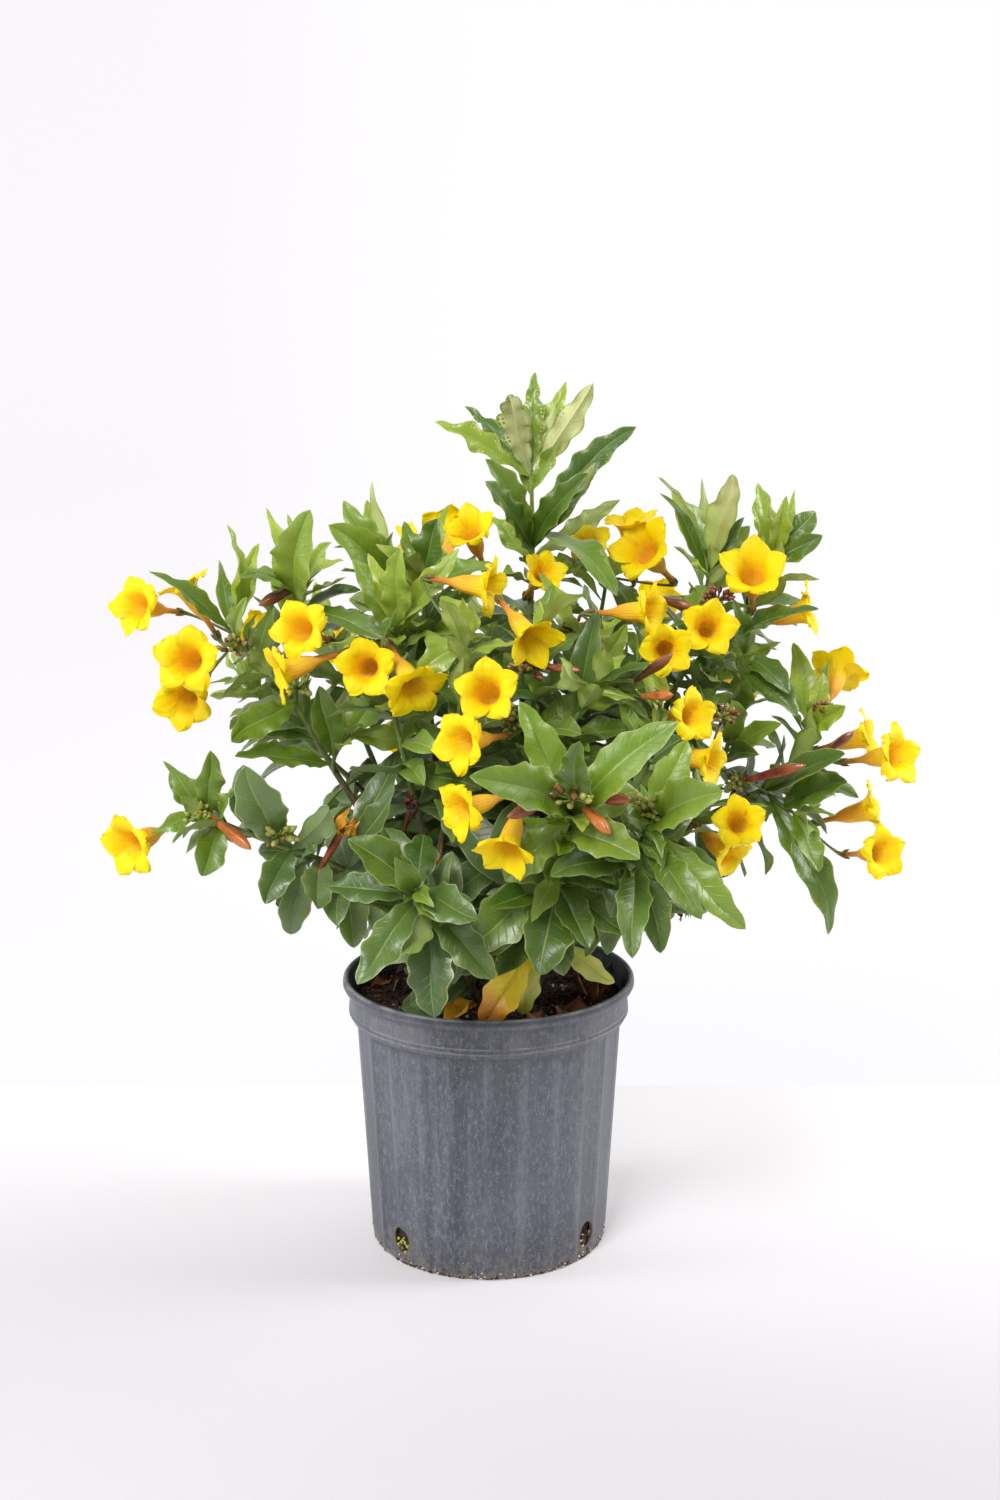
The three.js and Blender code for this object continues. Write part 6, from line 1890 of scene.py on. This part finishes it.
class ALLAMANDA_OT_blooms(bpy.types.Operator):
    """Makes every open bloom with its tube, throat and five overlapping lobes"""
    bl_idname = "allamanda.blooms"
    bl_label = "Blooms"

    def execute(self, context):
        finish = petal_finish(context.scene.allamanda_bloom)
        shells = defaultdict(lambda: Shell("reach", "inside", "spoke", "tone"))
        for number, row in enumerate(BLOOMS):
            add_corolla(shells[row[0]], row, BLOOM_SEED + number)
        for number, shell in shells.items():
            node = f"bloom_{number:02d}"
            shell.piece(node + "_fine", finish, "corolla", node, sharp=60)
        return {"FINISHED"}


def area_light(name, place, aim, size, watts):
    data = bpy.data.lights.new(name, "AREA")
    data.shape = "RECTANGLE"
    data.size, data.size_y = size
    data.energy = watts
    light = new_object(name, data)
    light.location = place
    light.rotation_euler = (Vector(aim) - Vector(place)).to_track_quat("-Z", "Y").to_euler()


class ALLAMANDA_OT_stage(bpy.types.Operator):
    """Sets up the pale floor, the backdrop, soft light and the camera"""
    bl_idname = "allamanda.stage"
    bl_label = "Stage"

    def execute(self, context):
        scene = context.scene
        settings = scene.allamanda_stage
        self.add_floor()
        self.add_lights(settings)
        camera = bpy.data.cameras.new("camera")
        camera.sensor_width = 36
        camera.lens = settings.lens
        camera.clip_end = 50
        eye = new_object("camera", camera)
        eye.location = [v * MM for v in EYE]
        eye.rotation_euler = (math.pi / 2 - settings.pitch, 0, 0)
        scene.camera = eye
        scene.view_settings.view_transform = "Standard"
        return {"FINISHED"}

    def add_floor(self):
        floor = [(-HALF_FLOOR, 0.0), (FLOOR_BACK, 0.0), (FLOOR_BACK, -0.03)]
        sweep = [(FLOOR_BACK + 0.001, -0.03), (FLOOR_BACK + 0.002, -0.004), (0.6, -0.003), (2.4, -0.002),
                 (3.2, 0.1), (3.7, 0.4), (3.9, 0.9), (4.0, 7.0)]
        self.sheet("floor", floor, self.floor_paper())
        self.sheet("backdrop", sweep, self.backdrop_paper())

    def sheet(self, name, line, material):
        """A wide sheet through a line of depths and heights, in metres."""
        points = [(x, y, z) for y, z in line for x in (-HALF_FLOOR, HALF_FLOOR)]
        faces = [(2 * i, 2 * i + 1, 2 * i + 3, 2 * i + 2) for i in range(len(line) - 1)]
        mesh = bpy.data.meshes.new(name)
        mesh.from_pydata(points, [], faces)
        mesh.shade_smooth()
        mesh.set_sharp_from_angle(angle=math.radians(40))
        mesh.materials.append(material)
        return new_object(name, mesh)

    def floor_paper(self):
        """Paper with painted shade: greyer near the camera and on the left, and palest behind the pot."""
        f = Finish("floor_paper", 0.85, specular=0.1)
        place = f.place()
        shade = f.mix(f.fall(place["Y"], -0.45, 0.25), (0.88, 0.852, 0.88), (0.6, 0.575, 0.6))
        shade = f.mix(f.fade(place["Y"], -0.1, 0.3), shade, (0.98, 0.96, 0.985))
        shade = f.mix(f.fade(place["X"], -0.6, 0.4, 0.45, 0.0), shade, (0.72, 0.695, 0.72))
        f.set("Base Color", shade)
        return f.material

    def backdrop_paper(self):
        """Paper that glows with painted light, so that it stays pale far behind the pot; painted shade leaves
        it greyer near the pot and on the left.
        """
        f = Finish("backdrop_paper", 0.85, specular=0.1)
        place = f.place()
        shade = f.mix(f.fade(place["Y"], 0.3, 1.6), (0.88, 0.88, 0.94), (0.97, 0.96, 0.98))
        shade = f.mix(f.fade(place["X"], -1.0, 0.2, 0.6, 0.0), shade, (0.87, 0.84, 0.87))
        f.set("Base Color", (0.1, 0.1, 0.1, 1))
        f.set("Emission Color", shade)
        f.set("Emission Strength", 0.97)
        return f.material

    def add_lights(self, settings):
        area_light("front_softbox", (-0.9, -2.1, 2.4), (0, 0, 0.45), (1.3, 1.0), settings.front_light)
        aim, size, watts = (0, 0, 0.4), (0.8, 1.5), settings.side_light
        area_light("left_softbox", (-2.0, -0.3, 1.2), aim, size, watts)
        area_light("right_softbox", (1.9, 0.1, 1.4), aim, size, 1.7 * watts)
        world = bpy.data.worlds.new("white_surround")
        bpy.context.scene.world = world
        world.use_nodes = True
        background = world.node_tree.nodes["Background"]
        background.inputs["Color"].default_value = (1.0, 0.99, 0.985, 1)
        background.inputs["Strength"].default_value = settings.sky


OPERATORS = (ALLAMANDA_OT_stage, ALLAMANDA_OT_pot, ALLAMANDA_OT_soil, ALLAMANDA_OT_fallen, ALLAMANDA_OT_stems,
             ALLAMANDA_OT_leaves, ALLAMANDA_OT_buds, ALLAMANDA_OT_blooms)


class ALLAMANDA_PT_sidebar(bpy.types.Panel):
    """Lists the steps of the potted allamanda and what may be set"""
    bl_idname = "ALLAMANDA_PT_sidebar"
    bl_label = "Potted allamanda"
    bl_space_type = "VIEW_3D"
    bl_region_type = "UI"
    bl_category = "Allamanda"

    def draw(self, context):
        for operator in OPERATORS:
            self.layout.operator(operator.bl_idname)
        for name, group in SETTINGS.items():
            box = self.layout.box()
            for setting in group.__annotations__:
                box.prop(getattr(context.scene, name), setting)


CLASSES = (*SETTINGS.values(), *OPERATORS, ALLAMANDA_PT_sidebar)


def register():
    for kind in CLASSES:
        bpy.utils.register_class(kind)
    for name, group in SETTINGS.items():
        setattr(bpy.types.Scene, name, PointerProperty(type=group))


def unregister():
    for name in SETTINGS:
        delattr(bpy.types.Scene, name)
    for kind in reversed(CLASSES):
        bpy.utils.unregister_class(kind)


def main():
    register()
    bpy.ops.allamanda.stage()
    bpy.ops.allamanda.pot()
    bpy.ops.allamanda.soil()
    bpy.ops.allamanda.fallen()
    bpy.ops.allamanda.stems()
    bpy.ops.allamanda.leaves()
    bpy.ops.allamanda.buds()
    bpy.ops.allamanda.blooms()


if __name__ == "__main__":
    main()
